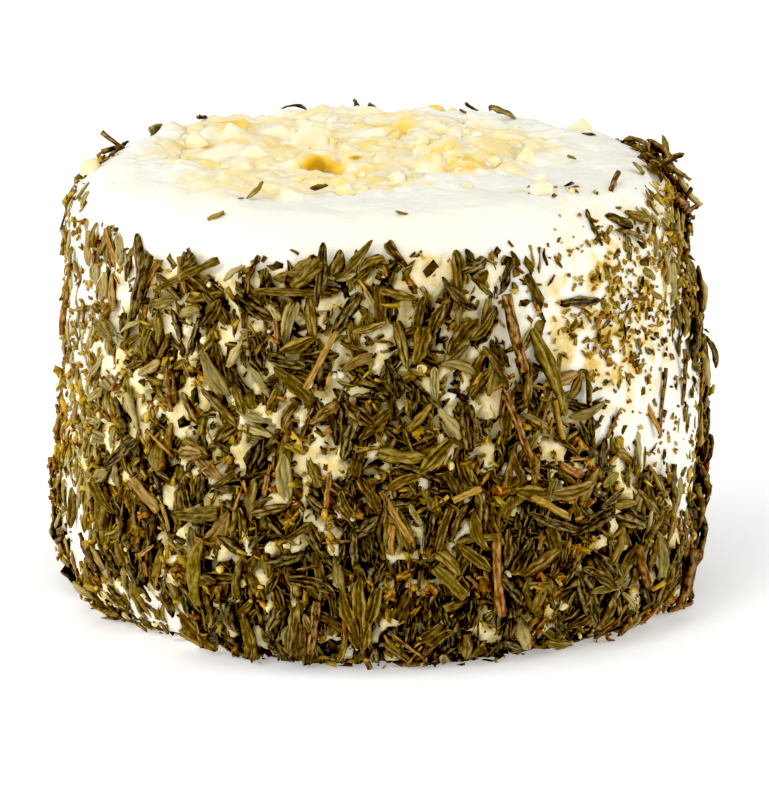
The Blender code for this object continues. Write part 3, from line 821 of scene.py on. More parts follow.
def dried_herb(name, colours, ridge_highlight_colour):
    """Dried thyme: matt, brittle and wrinkled, from grey-green to brown. Its ridges are paler, partly
    from its felt of hairs and partly as a painted highlight, and its grooves and pits are painted
    nearly black as painted shade. Damp curd leaves a faint gloss."""
    material, tree, shader = new_material(name)
    place = add(tree, "TexCoord").outputs["Object"]
    tone = add(tree, "Attribute", {"attribute_name": "tone"})
    ridge = add(tree, "Attribute", {"attribute_name": "ridge"})
    blotch = add(tree, "TexNoise", {}, {
        "Vector": place, "Scale": per_metre(1.3 * MM), "Detail": 2, "Roughness": 0.6})
    along = add(tree, "Attribute", {"attribute_name": "along"})
    across = add(tree, "Attribute", {"attribute_name": "across"})
    drawn_out = add(tree, "Math", {"operation": "MULTIPLY"}, {
        0: along.outputs["Fac"], 1: 0.35})
    lengthwise = add(tree, "CombineXYZ", {}, {
        "X": drawn_out, "Y": across.outputs["Fac"], "Z": tone.outputs["Fac"]})
    # hairs and pits, a tenth of a millimetre or less, drawn coarser so that they show
    pits = add(tree, "TexNoise", {}, {
        "Vector": lengthwise, "Scale": per_metre(0.28 * MM), "Detail": 2, "Roughness": 0.6})
    swing = add(tree, "Math", {"operation": "MULTIPLY_ADD"}, {
        0: blotch, 1: 0.36, 2: -0.18})
    mixed = add(tree, "Math", {"operation": "ADD", "use_clamp": True}, {
        0: tone.outputs["Fac"], 1: swing})
    number = add(tree, "Math", {"operation": "MULTIPLY"}, {0: tone.outputs["Fac"], 1: 977.0})
    chance = add(tree, "TexWhiteNoise", {"noise_dimensions": "1D"}, {"W": number})
    cast = add(tree, "ValToRGB", {}, {"Fac": chance.outputs["Value"]})
    cast.color_ramp.elements[0].color = linear("#ffd2c0")
    cast.color_ramp.elements[1].color = linear("#f0ff9a")
    for position, shade in ((0.18, "#fff0e0"), (0.5, "#ffffff"), (0.75, "#f6f6ec"), (0.88, "#ffffff")):
        cast.color_ramp.elements.new(position).color = linear(shade)
    hue = add(tree, "ValToRGB", {}, {"Fac": mixed})
    ramp = hue.color_ramp
    ramp.elements[0].color = linear(colours[0])
    ramp.elements[1].color = linear(colours[-1])
    for i, shade in enumerate(colours[1:-1], 1):
        ramp.elements.new(i / (len(colours) - 1)).color = linear(shade)
    # painted highlight: pale speckles on the ridges, partly the pale hairs and partly the light that
    # they catch
    highlight_speckles = add(tree, "MapRange", {}, {
        "Value": pits, "From Min": 0.38, "From Max": 0.64, "To Min": 0.0, "To Max": 0.9})
    painted_highlight = add(tree, "Math", {"operation": "MULTIPLY", "use_clamp": True}, {
        0: ridge.outputs["Fac"], 1: highlight_speckles})
    tinged = add(tree, "Mix", {"data_type": "RGBA", "blend_type": "MULTIPLY"}, {
        0: 1.0, 6: hue, 7: cast})
    pale = add(tree, "Mix", {"data_type": "RGBA"}, {
        0: painted_highlight, 6: tinged.outputs[2], 7: linear(ridge_highlight_colour)})
    # painted shade and highlight: the grooves and pits are painted darker and the ridges brighter than
    # their base colour
    painted_fold_shade = add(tree, "Math", {"operation": "MULTIPLY_ADD"}, {
        0: pits, 1: 1.2, 2: -0.6})
    shaded = add(tree, "Math", {"operation": "ADD"}, {
        0: ridge.outputs["Fac"], 1: painted_fold_shade})
    shade = add(tree, "MapRange", {}, {
        "Value": shaded, "From Min": -0.05, "From Max": 0.9, "To Min": 0.16, "To Max": 1.12})
    final = add(tree, "Mix", {"data_type": "RGBA", "blend_type": "MULTIPLY"}, {
        0: 1.0, 6: pale.outputs[2], 7: shade})
    tree.links.new(final.outputs[2], shader.inputs["Base Color"])
    bump = add(tree, "Bump", {}, {
        "Height": pits, "Distance": 0.12 * MM, "Strength": 0.8})
    tree.links.new(bump.outputs[0], shader.inputs["Normal"])
    set_values(shader, {"Roughness": 0.45, "IOR": 1.45, "Specular IOR Level": 0.14})
    return material


FLECK_AND_SHADE = dried_herb("rubbed_thyme_and_painted_shade", (
    "#241604", "#3c2807", "#553c0a", "#6a500e", "#84671a", "#8e5f20", "#b89840"), "#a58c44")


def dust_crowd(turn, rise):
    """Dust lies where the herbs do, but hardly on curd that pressed out between them."""
    point = skin(turn, rise)[0]
    specks = 0.006 + 0.1 * soft_patch(turn, point[..., 2], 50, 30, 26, 12)
    return herb_cover(turn, rise) * (1 - 0.85 * pressed_curd(point)) + specks


def make_dust_and_shade():
    turn, rise = scatter(FLECKS, dust_draw, dust_crowd)
    point = skin(turn, rise)[0]
    lift = curd_relief(point, herb_cover(turn, rise)) + 0.06 * MM
    length = dust_draw.uniform(0.3, 1.25, FLECKS) * MM
    width = length * dust_draw.uniform(0.25, 0.65, FLECKS)
    thickness = dust_draw.uniform(0.10, 0.25, FLECKS) * MM
    slant = dust_draw.uniform(0, 2 * math.pi, FLECKS)
    slope = dust_draw.normal(0, 0.2, FLECKS)
    roll = dust_draw.normal(0, 0.35, FLECKS)
    local = plates((length, width, thickness), dust_draw)
    points = on_cheese(local, turn, rise, slant, lift, slope, roll)
    points[..., 2] = np.maximum(points[..., 2], FLOOR_GAP)
    # painted shade: the dust is painted dark, so that the gaps between the leaves look shaded
    tone = tones(0.26, 0.24, turn, rise, dust_draw)
    ridge = dust_draw.uniform(0.2, 0.8, FLECKS)
    values = {"tone": tone, "ridge": ridge, **lengths_and_widths(local)}
    return strewn_piece("herb_dust_and_painted_shade", points, FLECK_FACES, FLECK_AND_SHADE, values)


dust_and_shade = make_dust_and_shade()
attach(dust_and_shade, "root")


# The broken leaves
#
# Leaf ends and pieces, one to two and a half millimetres long, that snapped when the thyme was
# stripped. The moist curd holds them among the dust, under the whole leaves.

UNDER_LEAVES = 2300
OVER_LEAVES = 1100
CELL = 0.25 * MM
CELLS_ROUND = int(2 * math.pi * WAIST_RADIUS / CELL)
CELLS_UP = int(SKIN_RISE[-1] / CELL) + 1
CRUST_MOST = 1.15 * MM
STEEPEST = 0.28
ALONG = np.repeat(np.linspace(-0.46, 0.46, 9), 3)
ACROSS = np.tile([-0.3, 0.0, 0.3], 9)
FINE_ALONG = np.repeat(np.linspace(-0.5, 0.5, 25), 7)
FINE_ACROSS = np.tile(np.linspace(-0.45, 0.45, 7), 25)
FINE_BULGE = (1 - (2 * FINE_ACROSS) ** 2) * np.clip(1.25 - 2.2 * np.abs(FINE_ALONG), 0, 1)
BROKEN_STATIONS = np.array([0, 0.25, 0.75, 1.0])
BROKEN_SECTION = np.array([(-0.5, 0), (-0.32, 0.38), (0, 0.20), (0.32, 0.38), (0.5, 0), (0, -0.15)])
BROKEN_RIDGE = np.array([0.4, 1, 0, 1, 0.4, 0])

broken_draw = np.random.default_rng(31)


def bare_crust():
    """How high the curd itself stands in each cell of the crust, where it isn't pressed out."""
    column, row = np.mgrid[0:CELLS_ROUND, 0:CELLS_UP]
    turn, rise = 2 * math.pi * column.ravel() / CELLS_ROUND, CELL * row.ravel()
    covers = herb_cover(turn, rise)
    relief = curd_relief(skin(turn, rise)[0], covers)
    return np.clip(relief, 0, (0.4 - 0.2 * covers) * MM).reshape(column.shape)


crust = bare_crust()
uppermost = np.zeros(crust.shape, bool)


def near_cells(turn, rise, right, up):
    """The cells of the crust at steps right and up from a place, and how far the skin falls there."""
    radius = np.interp(rise, SKIN_RISE, SKIN_RADIUS)
    column = np.rint((turn + right / radius) * CELLS_ROUND / (2 * math.pi)).astype(int) % CELLS_ROUND
    row = np.clip(np.rint((rise + up) / CELL).astype(int), 0, CELLS_UP - 1)
    round_bend = max(np.interp(rise, SKIN_RISE, SKIN_OUTWARD), 0) / radius
    fall = right**2 / 2 * round_bend + up**2 / 2 * np.interp(rise, SKIN_RISE, SKIN_BEND)
    return column, row, np.minimum(fall, 1.2 * MM)


def settle(turn, rise, slant, length, width, thickness, most, hidden, on_top):
    """Lays one piece on the crust: its lift and slope, after which the crust is higher there. It is
    left out where it would stand too high, or hide more than it may of a piece that lies on top."""
    sine, cosine = math.sin(slant), math.cos(slant)
    along, across = ALONG * length, ACROSS * width
    column, row, fall = near_cells(
        turn, rise, along * cosine - across * sine, along * sine + across * cosine)
    need = crust[column, row] - fall
    slope = float(np.clip((along @ need) / (along @ along), -STEEPEST, STEEPEST))
    rest = need - slope * along
    firmness = 0.85 if on_top else 0.5
    lift = firmness * rest.max() + (1 - firmness) * rest.mean() - 0.22 * thickness
    if lift > most or uppermost[column, row].mean() > hidden:
        return None
    along, across = FINE_ALONG * length, FINE_ACROSS * width
    column, row, fall = near_cells(
        turn, rise, along * cosine - across * sine, along * sine + across * cosine)
    top = lift + slope * along + thickness * FINE_BULGE + fall
    crust[column, row] = np.maximum(crust[column, row], top)
    if on_top:
        uppermost[column, row] = True
    return lift, slope


def settle_all(turn, rise, slant, sizes, most=CRUST_MOST, hidden=1.0, on_top=False):
    """Settles pieces one after another: which of them found room, and the lift and slope of each."""
    laid = [settle(*one, most, hidden, on_top) for one in zip(turn, rise, slant, *sizes)]
    room = np.array([found is not None for found in laid])
    lift, slope = np.array([found or (0, 0) for found in laid]).T
    return room, lift, slope


def tube_faces(stations, corners):
    """Triangles of a closed tube: its sides, and a fan over each end."""
    station, corner = np.mgrid[0:stations - 1, 0:corners]
    a = (station * corners + corner).ravel()
    b = (station * corners + (corner + 1) % corners).ravel()
    sides = [np.stack([a, a + corners, b], -1), np.stack([b, a + corners, b + corners], -1)]
    fan = np.array([(0, i, i + 1) for i in range(1, corners - 1)])
    last = (stations - 1) * corners
    return np.concatenate([*sides, fan, last + fan[:, ::-1]])


def curled(sizes, stations, girth, section, draw, bend, rough=0.06):
    """Local points of long dried pieces, x along, y across and z out. Girth is by piece and station."""
    length, width, thickness = (size[:, None, None] for size in sizes)
    count = len(length)
    t = stations[None, :, None]
    wide = girth[:, :, None] * (1 + 0.10 * draw.normal(size=(count, len(stations), 1)))
    wide = np.maximum(wide, 0.04)
    y = section[None, None, :, 0] * wide * width
    z = section[None, None, :, 1] * wide**0.8 * thickness
    y = y + rough * width * draw.normal(size=y.shape) * np.minimum(wide, 1)
    z = z + rough * thickness * draw.normal(size=z.shape)
    twist = draw.normal(0, 0.35, (count, 1, 1)) * (t - 0.5)
    y, z = y * np.cos(twist) - z * np.sin(twist), y * np.sin(twist) + z * np.cos(twist)
    bow = (2 * t - 1) ** 2 - 0.33
    z = z + draw.normal(-0.4 * bend, bend, (count, 1, 1)) * length * bow
    y = y + draw.normal(0, bend, (count, 1, 1)) * length * bow
    x = (t - 0.5) * length + 0 * y
    return np.stack([x, y, z], -1).reshape(count, -1, 3)


def herb_slant(turn, rise, draw):
    """Long pieces lie any way, but low down and round the sides most of them stand upright."""
    height = height_at(rise)
    upright = 0.2 + 0.45 * (1 - smooth_step(8, 22, height / MM)) + 0.3 * small_herb(turn, rise)
    any_way = draw.uniform(0, 2 * math.pi, len(turn))
    stands = draw.uniform(0, 1, len(turn)) < upright
    return np.where(stands, draw.normal(math.pi / 2, 0.4, len(turn)), any_way)


def above_floor(points, *values):
    """Drops the pieces that would reach well under the cheese, and stands the others on the floor."""
    lowest = points[..., 2].min(1)
    kept = lowest > -0.9 * MM
    points = points[kept]
    points[..., 2] += np.maximum(FLOOR_GAP - lowest[kept], 0)[:, None]
    return (points, *(value[kept] for value in values))


def lay(name, laid, sizes, stations, girth, section, ridge, tone, material, draw, bend=0.05, loose=1.0):
    """Makes one piece of all the long pieces that found room. Laid is turn, rise, slant, lift, slope."""
    turn, rise, slant, lift, slope = laid
    local = curled(sizes, stations, girth, section, draw, bend)
    tilt = slope + loose * draw.normal(0, 0.09, len(turn))
    points = on_cheese(local, turn, rise, slant, lift, tilt, loose * draw.normal(0, 0.38, len(turn)))
    points, tone, local = above_floor(points, tone, local)
    # how strongly each piece's ridges take the painted highlight and its grooves the painted shade
    contrast = draw.uniform(0.35, 1, (len(points), 1))
    ridges = 0.5 + (np.tile(ridge, (len(points), len(stations))) - 0.5) * contrast
    values = {"tone": tone, "ridge": ridges, **lengths_and_widths(local)}
    piece = strewn_piece(name, points, tube_faces(len(stations), len(section)), material, values)
    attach(piece, "root")


# each herb's last colour is its ridge colour, partly its pale hairs and partly a painted highlight
LEAF = dried_herb("dried_thyme_leaf", (
    "#1a0e02", "#3c2707", "#593f08", "#6f560d", "#866d18", "#9f8c50", "#c6b474"), "#ae9656")


def make_broken_leaves(name, count, most, mean_tone):
    turn, rise = scatter(count, broken_draw, herb_cover)
    length = broken_draw.uniform(0.9, 2.5, count) * MM
    width = broken_draw.uniform(0.4, 0.85, count) * MM
    thickness = width * broken_draw.uniform(0.6, 1.0, count)
    slant = herb_slant(turn, rise, broken_draw)
    sizes = np.array([length, width, thickness])
    room, lift, slope = settle_all(turn, rise, slant, sizes, most)
    laid = np.array([turn, rise, slant, lift, slope])[:, room]
    girth = broken_draw.uniform(0.5, 1.0, (room.sum(), len(BROKEN_STATIONS))) * (0.6, 1, 1, 0.6)
    tone = tones(mean_tone, 0.26, turn[room], rise[room], broken_draw)
    lay(name, laid, sizes[:, room], BROKEN_STATIONS, girth, BROKEN_SECTION, BROKEN_RIDGE, tone, LEAF,
        broken_draw)


make_broken_leaves("broken_leaves_under", UNDER_LEAVES, 0.6 * MM, 0.26)


# The thyme leaves
#
# Whole dried thyme leaves, two to five and a half millimetres long. Drying has rolled their edges
# under, so a leaf shows either its pitted, pillowed face or, back up, two rolled margins with the
# midrib between. They lie on one another every way, half pressed into the curd.

LEAVES = 2500
TOP_LEAVES = 3000
SMALLER_FIRST = 1.1 * MM
LEAF_STATIONS = np.array([0, 0.08, 0.26, 0.48, 0.70, 0.88, 1.0])
GIRTH_ALONG = np.array([0, 0.07, 0.2, 0.38, 0.56, 0.74, 0.9, 1.0])
LEAF_GIRTH = np.array([0.22, 0.50, 0.84, 1.0, 1.0, 0.90, 0.66, 0.24])
BACK_UP = np.array([(-0.5, 0.03), (-0.41, 0.42), (-0.17, 0.10), (0, 0.27),
                    (0.17, 0.10), (0.41, 0.42), (0.5, 0.03), (0, -0.12)])
FACE_UP = np.array([(-0.5, 0), (-0.38, 0.28), (-0.16, 0.44), (0, 0.34),
                    (0.16, 0.44), (0.38, 0.28), (0.5, 0), (0, -0.12)])
BACK_RIDGE = np.array([0.5, 1, 0, 0.7, 0, 1, 0.5, 0])
FACE_RIDGE = np.array([0.2, 0.5, 1, 0.2, 1, 0.5, 0.2, 0])

leaf_draw = np.random.default_rng(5)


def leaf_girths(count, draw, snapped=0.35):
    """The girths of leaves at their stations. Some have snapped, and lack the stalk end or the tip."""
    start = np.where(draw.uniform(0, 1, count) < snapped, draw.uniform(0.05, 0.4, count), 0)
    end = np.where(draw.uniform(0, 1, count) < 0.5 * snapped, draw.uniform(0.6, 0.95, count), 1)
    along = start[:, None] + (end - start)[:, None] * LEAF_STATIONS
    return np.interp(along, GIRTH_ALONG, LEAF_GIRTH)


def leaf_crowd(turn, rise):
    """Whole leaves lie mostly where the herb is thick, and seldom over curd that pressed out."""
    pressed = pressed_curd(skin(turn, rise)[0])
    return herb_cover(turn, rise) ** 1.3 * (1 - 0.85 * pressed)


def make_leaves(
        prefix, count, shortest, mean_tone, most=CRUST_MOST, hidden=1.0, on_top=False, loose=1.0):
    """Strews whole leaves, mostly the smaller first, and makes those with each side up."""
    turn, rise = scatter(count, leaf_draw, leaf_crowd)
    fine = small_herb(turn, rise)
    length = (shortest + 3.2 * leaf_draw.beta(2.0, 2.5, count)) * MM * (1 - 0.42 * fine)
    width = np.clip(length * leaf_draw.normal(0.29, 0.05, count), 0.5 * MM, 1.45 * MM)
    thickness = width * leaf_draw.uniform(0.7, 1.05, count)
    tone = tones(mean_tone, 0.35, turn, rise, leaf_draw)
    order = np.argsort(length + leaf_draw.normal(0, SMALLER_FIRST, count))
    turn, rise, length, width, thickness, tone = np.array(
        [turn, rise, length, width, thickness, tone])[:, order]
    slant = herb_slant(turn, rise, leaf_draw)
    sizes = np.array([length, width, thickness])
    room, lift, slope = settle_all(turn, rise, slant, sizes, most, hidden, on_top)
    laid = np.array([turn, rise, slant, lift, slope])
    back = leaf_draw.uniform(0, 1, count) < 0.55
    for name, chosen, section, ridge in (
        ("_back_up", back & room, BACK_UP, BACK_RIDGE),
        ("_face_up", ~back & room, FACE_UP, FACE_RIDGE),
    ):
        girth = leaf_girths(chosen.sum(), leaf_draw)
        lay(prefix + name, laid[:, chosen], sizes[:, chosen], LEAF_STATIONS, girth, section, ridge,
            tone[chosen], LEAF, leaf_draw, loose=loose)


make_leaves("thyme_leaves", LEAVES, 1.7, 0.24)
make_broken_leaves("broken_leaves_over", OVER_LEAVES, CRUST_MOST, 0.42)
make_leaves("top_leaves", TOP_LEAVES, 2.3, 0.42, most=1.3 * MM, hidden=0.1, on_top=True, loose=0.45)


# The thyme stems
#
# Bits of the wiry twigs that the leaves were stripped from: four-sided, ridged, straight or slightly
# bowed, snapped square. Young ones are straw and olive, old ones orange-brown to dark brown.

STEMS = 420
STEM_STATIONS = np.linspace(0, 1, 6)
STEM_SECTION = np.array([(-0.5, 0.1), (-0.3, 0.5), (0.0, 0.42), (0.3, 0.5), (0.5, 0.1), (0.0, -0.3)])
STEM_RIDGE = np.array([0.3, 1, 0.4, 1, 0.3, 0.2])

stem_draw = np.random.default_rng(13)

STEM = dried_herb("dried_thyme_stem", (
    "#241206", "#4a260c", "#70401a", "#8c5a22", "#a8803a", "#b5903c"), "#c9a05c")


def make_stems():
    turn, rise = scatter(STEMS, stem_draw, herb_cover)
    length = stem_draw.uniform(1.4, 4.2, STEMS) * MM
    width = stem_draw.uniform(0.25, 0.55, STEMS) * MM
    sizes = np.array([length, width, width])
    slant = herb_slant(turn, rise, stem_draw)
    room, lift, slope = settle_all(turn, rise, slant, sizes, most=1.4 * MM, hidden=0.35)
    laid = np.array([turn, rise, slant, lift, slope])[:, room]
    girth = 1 + 0.12 * stem_draw.normal(size=(room.sum(), len(STEM_STATIONS)))
    tone = stem_draw.beta(1.1, 1.5, room.sum())
    lay("thyme_stems", laid, sizes[:, room], STEM_STATIONS, girth, STEM_SECTION, STEM_RIDGE,
        tone, STEM, stem_draw, bend=0.012)


make_stems()


# The crumbs in the crust
#
# Scraps of curd that the rolling broke off and pressed back in, a third of a millimetre to just over
# one. They lie between and on the leaves. The herbs' oil has stained them a little, and their cream
# is partly painted shade among the herbs.

CRUST_CRUMBS = 600

crust_draw = np.random.default_rng(41)


def make_crust_crumbs():
    turn, rise = scatter(CRUST_CRUMBS, crust_draw, herb_cover)
    size = (0.35 + 0.8 * crust_draw.beta(1.2, 2.4, CRUST_CRUMBS)) * MM
    sizes = (size, size, 0.5 * size)
    room, lift, _ = settle_all(turn, rise, 0 * turn, sizes, most=1.2 * MM, hidden=0.6)
    point, _, _, out = skin(turn, rise)
    centres = (point + out * (lift - 0.15 * size)[:, None])[room]
    points, triangles = chunks(centres, 0.5 * size[room], (0.7, 1.3), CRUMB_CUTS, 2, crust_draw)
    points[..., 2] = np.maximum(points[..., 2], FLOOR_GAP)
    # the crumbs' cream is partly oil stain and partly painted shade among the herbs
    stain_and_shade = crust_draw.uniform(0.3, 0.85, len(centres))
    return strewn_piece("crust_crumbs", points, triangles, CURD, {"stain_and_shade": stain_and_shade}, angular=True)


crust_crumbs = make_crust_crumbs()
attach(crust_crumbs, "root")


# The pieces that stand out
#
# The leaves and stems that catch the eye: bigger, paler or oddly coloured, or sticking out at an
# edge. They went on last, lie on top of the others and are stuck by one end or the middle.

STANDOUTS = (
    # turn, height, slant, length, width, form and tone: degrees and millimetres, from the photo
    (-46, 33.0, -105, 6.2, 1.2, "face", 0.15),
    (-35, 35.0, -151, 7.0, 0.9, "back", 0.50),
    (-28, 26.6, -57, 4.5, 1.5, "back", 0.85),
    (-77, 28.4, -80, 5.6, 0.7, "stem", 0.50),
    (-34, 31.7, 19, 3.1, 1.0, "face", 0.85),
    (-55, 28.4, -13, 4.2, 1.3, "back", 0.72),
    (-46, 21.9, -59, 3.6, 1.3, "face", 1.00),
    (-47, 18.3, 36, 5.1, 1.3, "back", 0.10),
    (-32, 19.5, 12, 3.4, 1.2, "back", 0.90),
    (-31, 14.0, 10, 4.9, 1.4, "back", 0.45),
    (-31, 8.8, -95, 6.3, 1.5, "back", 0.68),
    (-47, 11.8, -85, 3.7, 0.9, "face", 0.20),
    (-53, 13.4, -34, 4.2, 0.9, "back", 0.55),
    (-38, 13.1, -77, 2.5, 0.4, "stem", 1.00),
    (-75, 9.6, -106, 4.3, 1.0, "back", 0.40),
    (-21, 32.8, -31, 4.1, 1.3, "back", 0.08),
    (-16, 34.4, 1, 5.8, 0.8, "back", 0.50),
    (-12, 35.9, -136, 3.4, 1.4, "face", 0.45),
    (-9.6, 35.9, -92, 5.8, 1.0, "back", 0.20),
    (-7, 36.7, -108, 2.6, 1.2, "face", 0.30),
    (-4, 36.9, -130, 5.0, 0.9, "back", 0.50),
    (-9.4, 28.7, -117, 5.7, 0.6, "stem", 0.85),
    (-13.6, 29.9, 24, 3.4, 1.2, "back", 0.60),
    (-15, 28.3, -5, 3.9, 1.0, "back", 0.10),
    (-23, 34.8, -87, 1.8, 0.5, "stem", 0.15),
    (-17.5, 32.6, -55, 1.8, 0.9, "face", 1.00),
    (-24.4, 28.6, -119, 2.8, 0.9, "face", 1.00),
    (-23.7, 24.7, -73, 2.8, 1.0, "face", 0.45),
    (-3, 24.1, -40, 3.2, 1.5, "back", 0.28),
    (24, 30.4, -80, 7.0, 1.1, "stem", 0.25),
    (31, 26.5, -72, 8.4, 1.4, "face", 0.58),
    (17, 36.3, -160, 2.6, 1.1, "face", 0.10),
    (14.5, 36.1, -86, 3.6, 1.2, "back", 0.50),
    (13.8, 34.0, -44, 4.3, 1.0, "back", 0.12),
    (17.8, 31.3, -133, 3.1, 0.9, "back", 0.50),
    (19.7, 27.7, -65, 4.4, 1.1, "back", 0.30),
    (14.8, 22.6, -87, 4.2, 1.5, "back", 0.17),
    (23.6, 22.3, -69, 6.6, 0.7, "stem", 0.35),
    (3, 15.0, -58, 5.2, 0.7, "stem", 0.80),
    (20, 9.2, -87, 7.5, 0.9, "stem", 0.50),
    (2.3, 12.9, -93, 2.9, 0.7, "stem", 0.70),
    (9.3, 20.3, 38, 4.4, 1.4, "back", 0.66),
    (14.6, 16.7, 24, 2.7, 0.6, "stem", 1.00),
    (23.5, 18.5, -67, 4.2, 0.7, "back", 0.40),
    (33.5, 17.8, -28, 3.4, 0.8, "stem", 0.60),
    (29.4, 14.8, -31, 5.3, 0.7, "stem", 0.95),
    (29.5, 13.4, -23, 5.7, 0.9, "back", 0.10),
    (16.5, 13.2, -71, 3.8, 1.0, "back", 0.50),
    (16, 10.9, -41, 3.7, 1.1, "back", 0.50),
    (11.8, 10.6, -47, 2.9, 1.2, "face", 0.50),
    (-5, 6.2, -70, 4.5, 1.1, "back", 0.55),  # five leaves still on one bud
    (-3, 6.8, -88, 5.0, 1.2, "back", 0.60),
    (-1, 6.2, -105, 4.5, 1.1, "back", 0.50),
    (-4, 4.4, -80, 3.8, 1.0, "back", 0.40),
    (-2, 4.4, -98, 3.8, 1.0, "back", 0.62),
    (-10.6, 8.8, -15, 4.0, 1.2, "back", 0.10),
    (-10.6, 5.0, -99, 5.2, 0.8, "stem", 0.10),
    (50, 7.5, -61, 4.7, 0.9, "stem", 0.45),
    (67, 4.6, -112, 5.6, 1.2, "stem", 0.20),
    (40, 7.5, -34, 4.1, 1.1, "back", 0.40),
    (42, 6.4, -3, 5.5, 0.9, "back", 0.70),
    (37.4, 5.8, -68, 5.4, 1.4, "back", 0.10),
    (42, 4.2, -94, 3.8, 1.1, "back", 0.40),
    (53, 38.1, -38, 3.1, 1.0, "back", 0.30),
    (54, 36.9, -23, 3.7, 1.0, "back", 0.45),
    (59, 37.9, -31, 3.2, 1.0, "face", 0.50),
    (71, 35.7, -38, 3.0, 1.0, "back", 0.40),
    (84, 36.7, -33, 2.6, 1.4, "stem", 0.20),
    (88, 39.3, 20, 4.0, 1.0, "back", 0.30),
    (93, 38.2, -60, 4.0, 1.0, "back", 0.45),
    (103, 39.0, 40, 4.0, 1.0, "back", 0.35),
    (39, 24.4, -90, 3.0, 1.1, "face", 0.30),
    (39.5, 32.1, -6, 4.2, 0.9, "back", 0.12),
    (63, 21.0, -97, 6.0, 0.5, "stem", 0.10),
    (72, 22.2, -96, 5.1, 0.5, "stem", 0.15),
    (59, 20.0, -64, 4.6, 0.6, "stem", 0.90),
    (88, 22.6, -92, 3.1, 0.9, "back", 0.30),
    (39, 22.4, 8, 4.5, 0.9, "back", 0.80),
    (32, 22.3, -76, 3.7, 0.8, "stem", 0.95),
)
PROUD_BITS = (
    # turn, way from the middle of the top along the skin, slant, lean out of it, length, width, form
    # and tone: degrees and millimetres, from the photo
    (-32, 20.4, 50, 45, 2.2, 0.65, "back", 0.80),
    (-19, 16.0, 35, 12, 1.7, 0.55, "back", 0.60),
    (-34, 25.4, 40, 10, 1.6, 0.50, "stem", 1.00),
    (78, 23.9, 60, 20, 1.5, 0.75, "back", 0.80),
    (89, 17.6, 80, 20, 0.9, 0.50, "back", 0.70),
    (61, 24.0, 18, 10, 3.0, 0.50, "stem", 0.30),
    (-159, 22.2, 8, 10, 2.8, 0.60, "back", 0.20),
    (-122, 24.4, 20, 15, 2.5, 1.30, "face", 0.80),
    (147, 21.5, 60, 25, 3.0, 0.90, "back", 0.80),
    (159, 24.3, 10, 25, 1.6, 0.60, "face", 0.15),
    (-179, 24.8, 20, 30, 1.3, 0.60, "stem", 0.05),
    (-175, 24.0, 70, 30, 1.1, 0.50, "stem", 0.10),
    (-136, 23.7, 0, 10, 0.9, 0.50, "stem", 0.20),
    (-104, 24.8, -90, 60, 2.8, 0.50, "stem", 0.03),  # a thorny twig end
    (-104, 25.2, -75, 12, 2.0, 0.60, "stem", 0.02),
    (-100, 24.6, 40, 20, 1.5, 0.60, "back", 0.20),
    (90, 29.9, 60, 40, 1.8, 0.55, "stem", 0.20),  # an empty calyx
    (91, 30.4, 20, 50, 1.6, 0.55, "stem", 0.16),
    (92, 29.4, 110, 45, 1.7, 0.55, "stem", 0.24),
    (88, 26.4, -90, 70, 2.8, 1.10, "face", 0.35),
    (97, 26.0, 60, 40, 2.6, 0.90, "back", 0.50),
    (72, 62.0, -92, 8, 4.2, 0.80, "stem", 0.60),  # a forked twig that hangs at the foot
    (74, 64.6, 15, 20, 3.4, 0.75, "stem", 0.55),
    (76, 63.6, -50, 30, 2.6, 0.70, "back", 0.45),
    (71, 65.2, 170, 15, 2.6, 0.80, "back", 0.50),
)
PROUD_MOST = 1.5 * MM

standout_draw = np.random.default_rng(3)


def make_standouts():
    top_end = RIM_RISE + np.interp(RIM_RISE, SKIN_RISE, SKIN_RADIUS)
    on_side = SKIN_RISE <= RIM_RISE
    rows = [
        (turn, np.interp(height * MM, SKIN_HEIGHT[on_side], SKIN_RISE[on_side]), slant, 0, *rest)
        for turn, height, slant, *rest in STANDOUTS
    ]
    rows += [(turn, top_end - way * MM, *rest) for turn, way, *rest in PROUD_BITS]
    for form, section, ridge, stations, material in (
        ("back", BACK_UP, BACK_RIDGE, LEAF_STATIONS, LEAF),
        ("face", FACE_UP, FACE_RIDGE, LEAF_STATIONS, LEAF),
        ("stem", STEM_SECTION, STEM_RIDGE, STEM_STATIONS, STEM),
    ):
        chosen = np.array([row[:6] + row[7:] for row in rows if row[6] == form])
        turn, rise, slant, lean, length, width, tone = chosen.T
        turn, slant, lean = np.radians(turn), np.radians(slant), np.radians(lean)
        sizes = np.array([length, width, 0.9 * width]) * MM
        _, lift, slope = settle_all(turn, rise, slant, sizes, most=HEIGHT, on_top=True)
        point = skin(turn, rise)[0]
        over_curd = curd_relief(point, 0 * turn) + top_wave(point[:, 0], point[:, 1])
        lift = np.maximum(lift, curd_relief(point, herb_cover(turn, rise))) + 0.12 * sizes[2]
        raised = np.maximum(lift, over_curd) + 0.4 * np.sin(lean) * length * MM
        lift = np.where(lean > 0, raised, np.minimum(lift, PROUD_MOST))
        slope = np.where(lean > 0, np.tan(lean), slope)
        girth = np.ones((len(turn), len(stations)))
        if form != "stem":
            girth = leaf_girths(len(turn), standout_draw, 0.2)
        laid = np.array([turn, rise, slant, lift, slope])
        lay("standout_" + form, laid, sizes, stations, girth, section, ridge, tone, material,
            standout_draw, bend=0.015 if form == "stem" else 0.04)


make_standouts()


# The herb flakes
#
# Angular chips of leaf, flower and bark, half to one and a half millimetres across, many of them
# yellow-green or rust. They lie over the leaves, mostly at the left and the upper right, and are
# about all that stuck on the bare patches.

FLAKES = 5400
FLAKED_PATCHES = ((48, 31, 22, 9, 0.45), (66, 20, 24, 18, 0.1), (47, 31, 13, 5, 0.4))

flake_draw = np.random.default_rng(29)

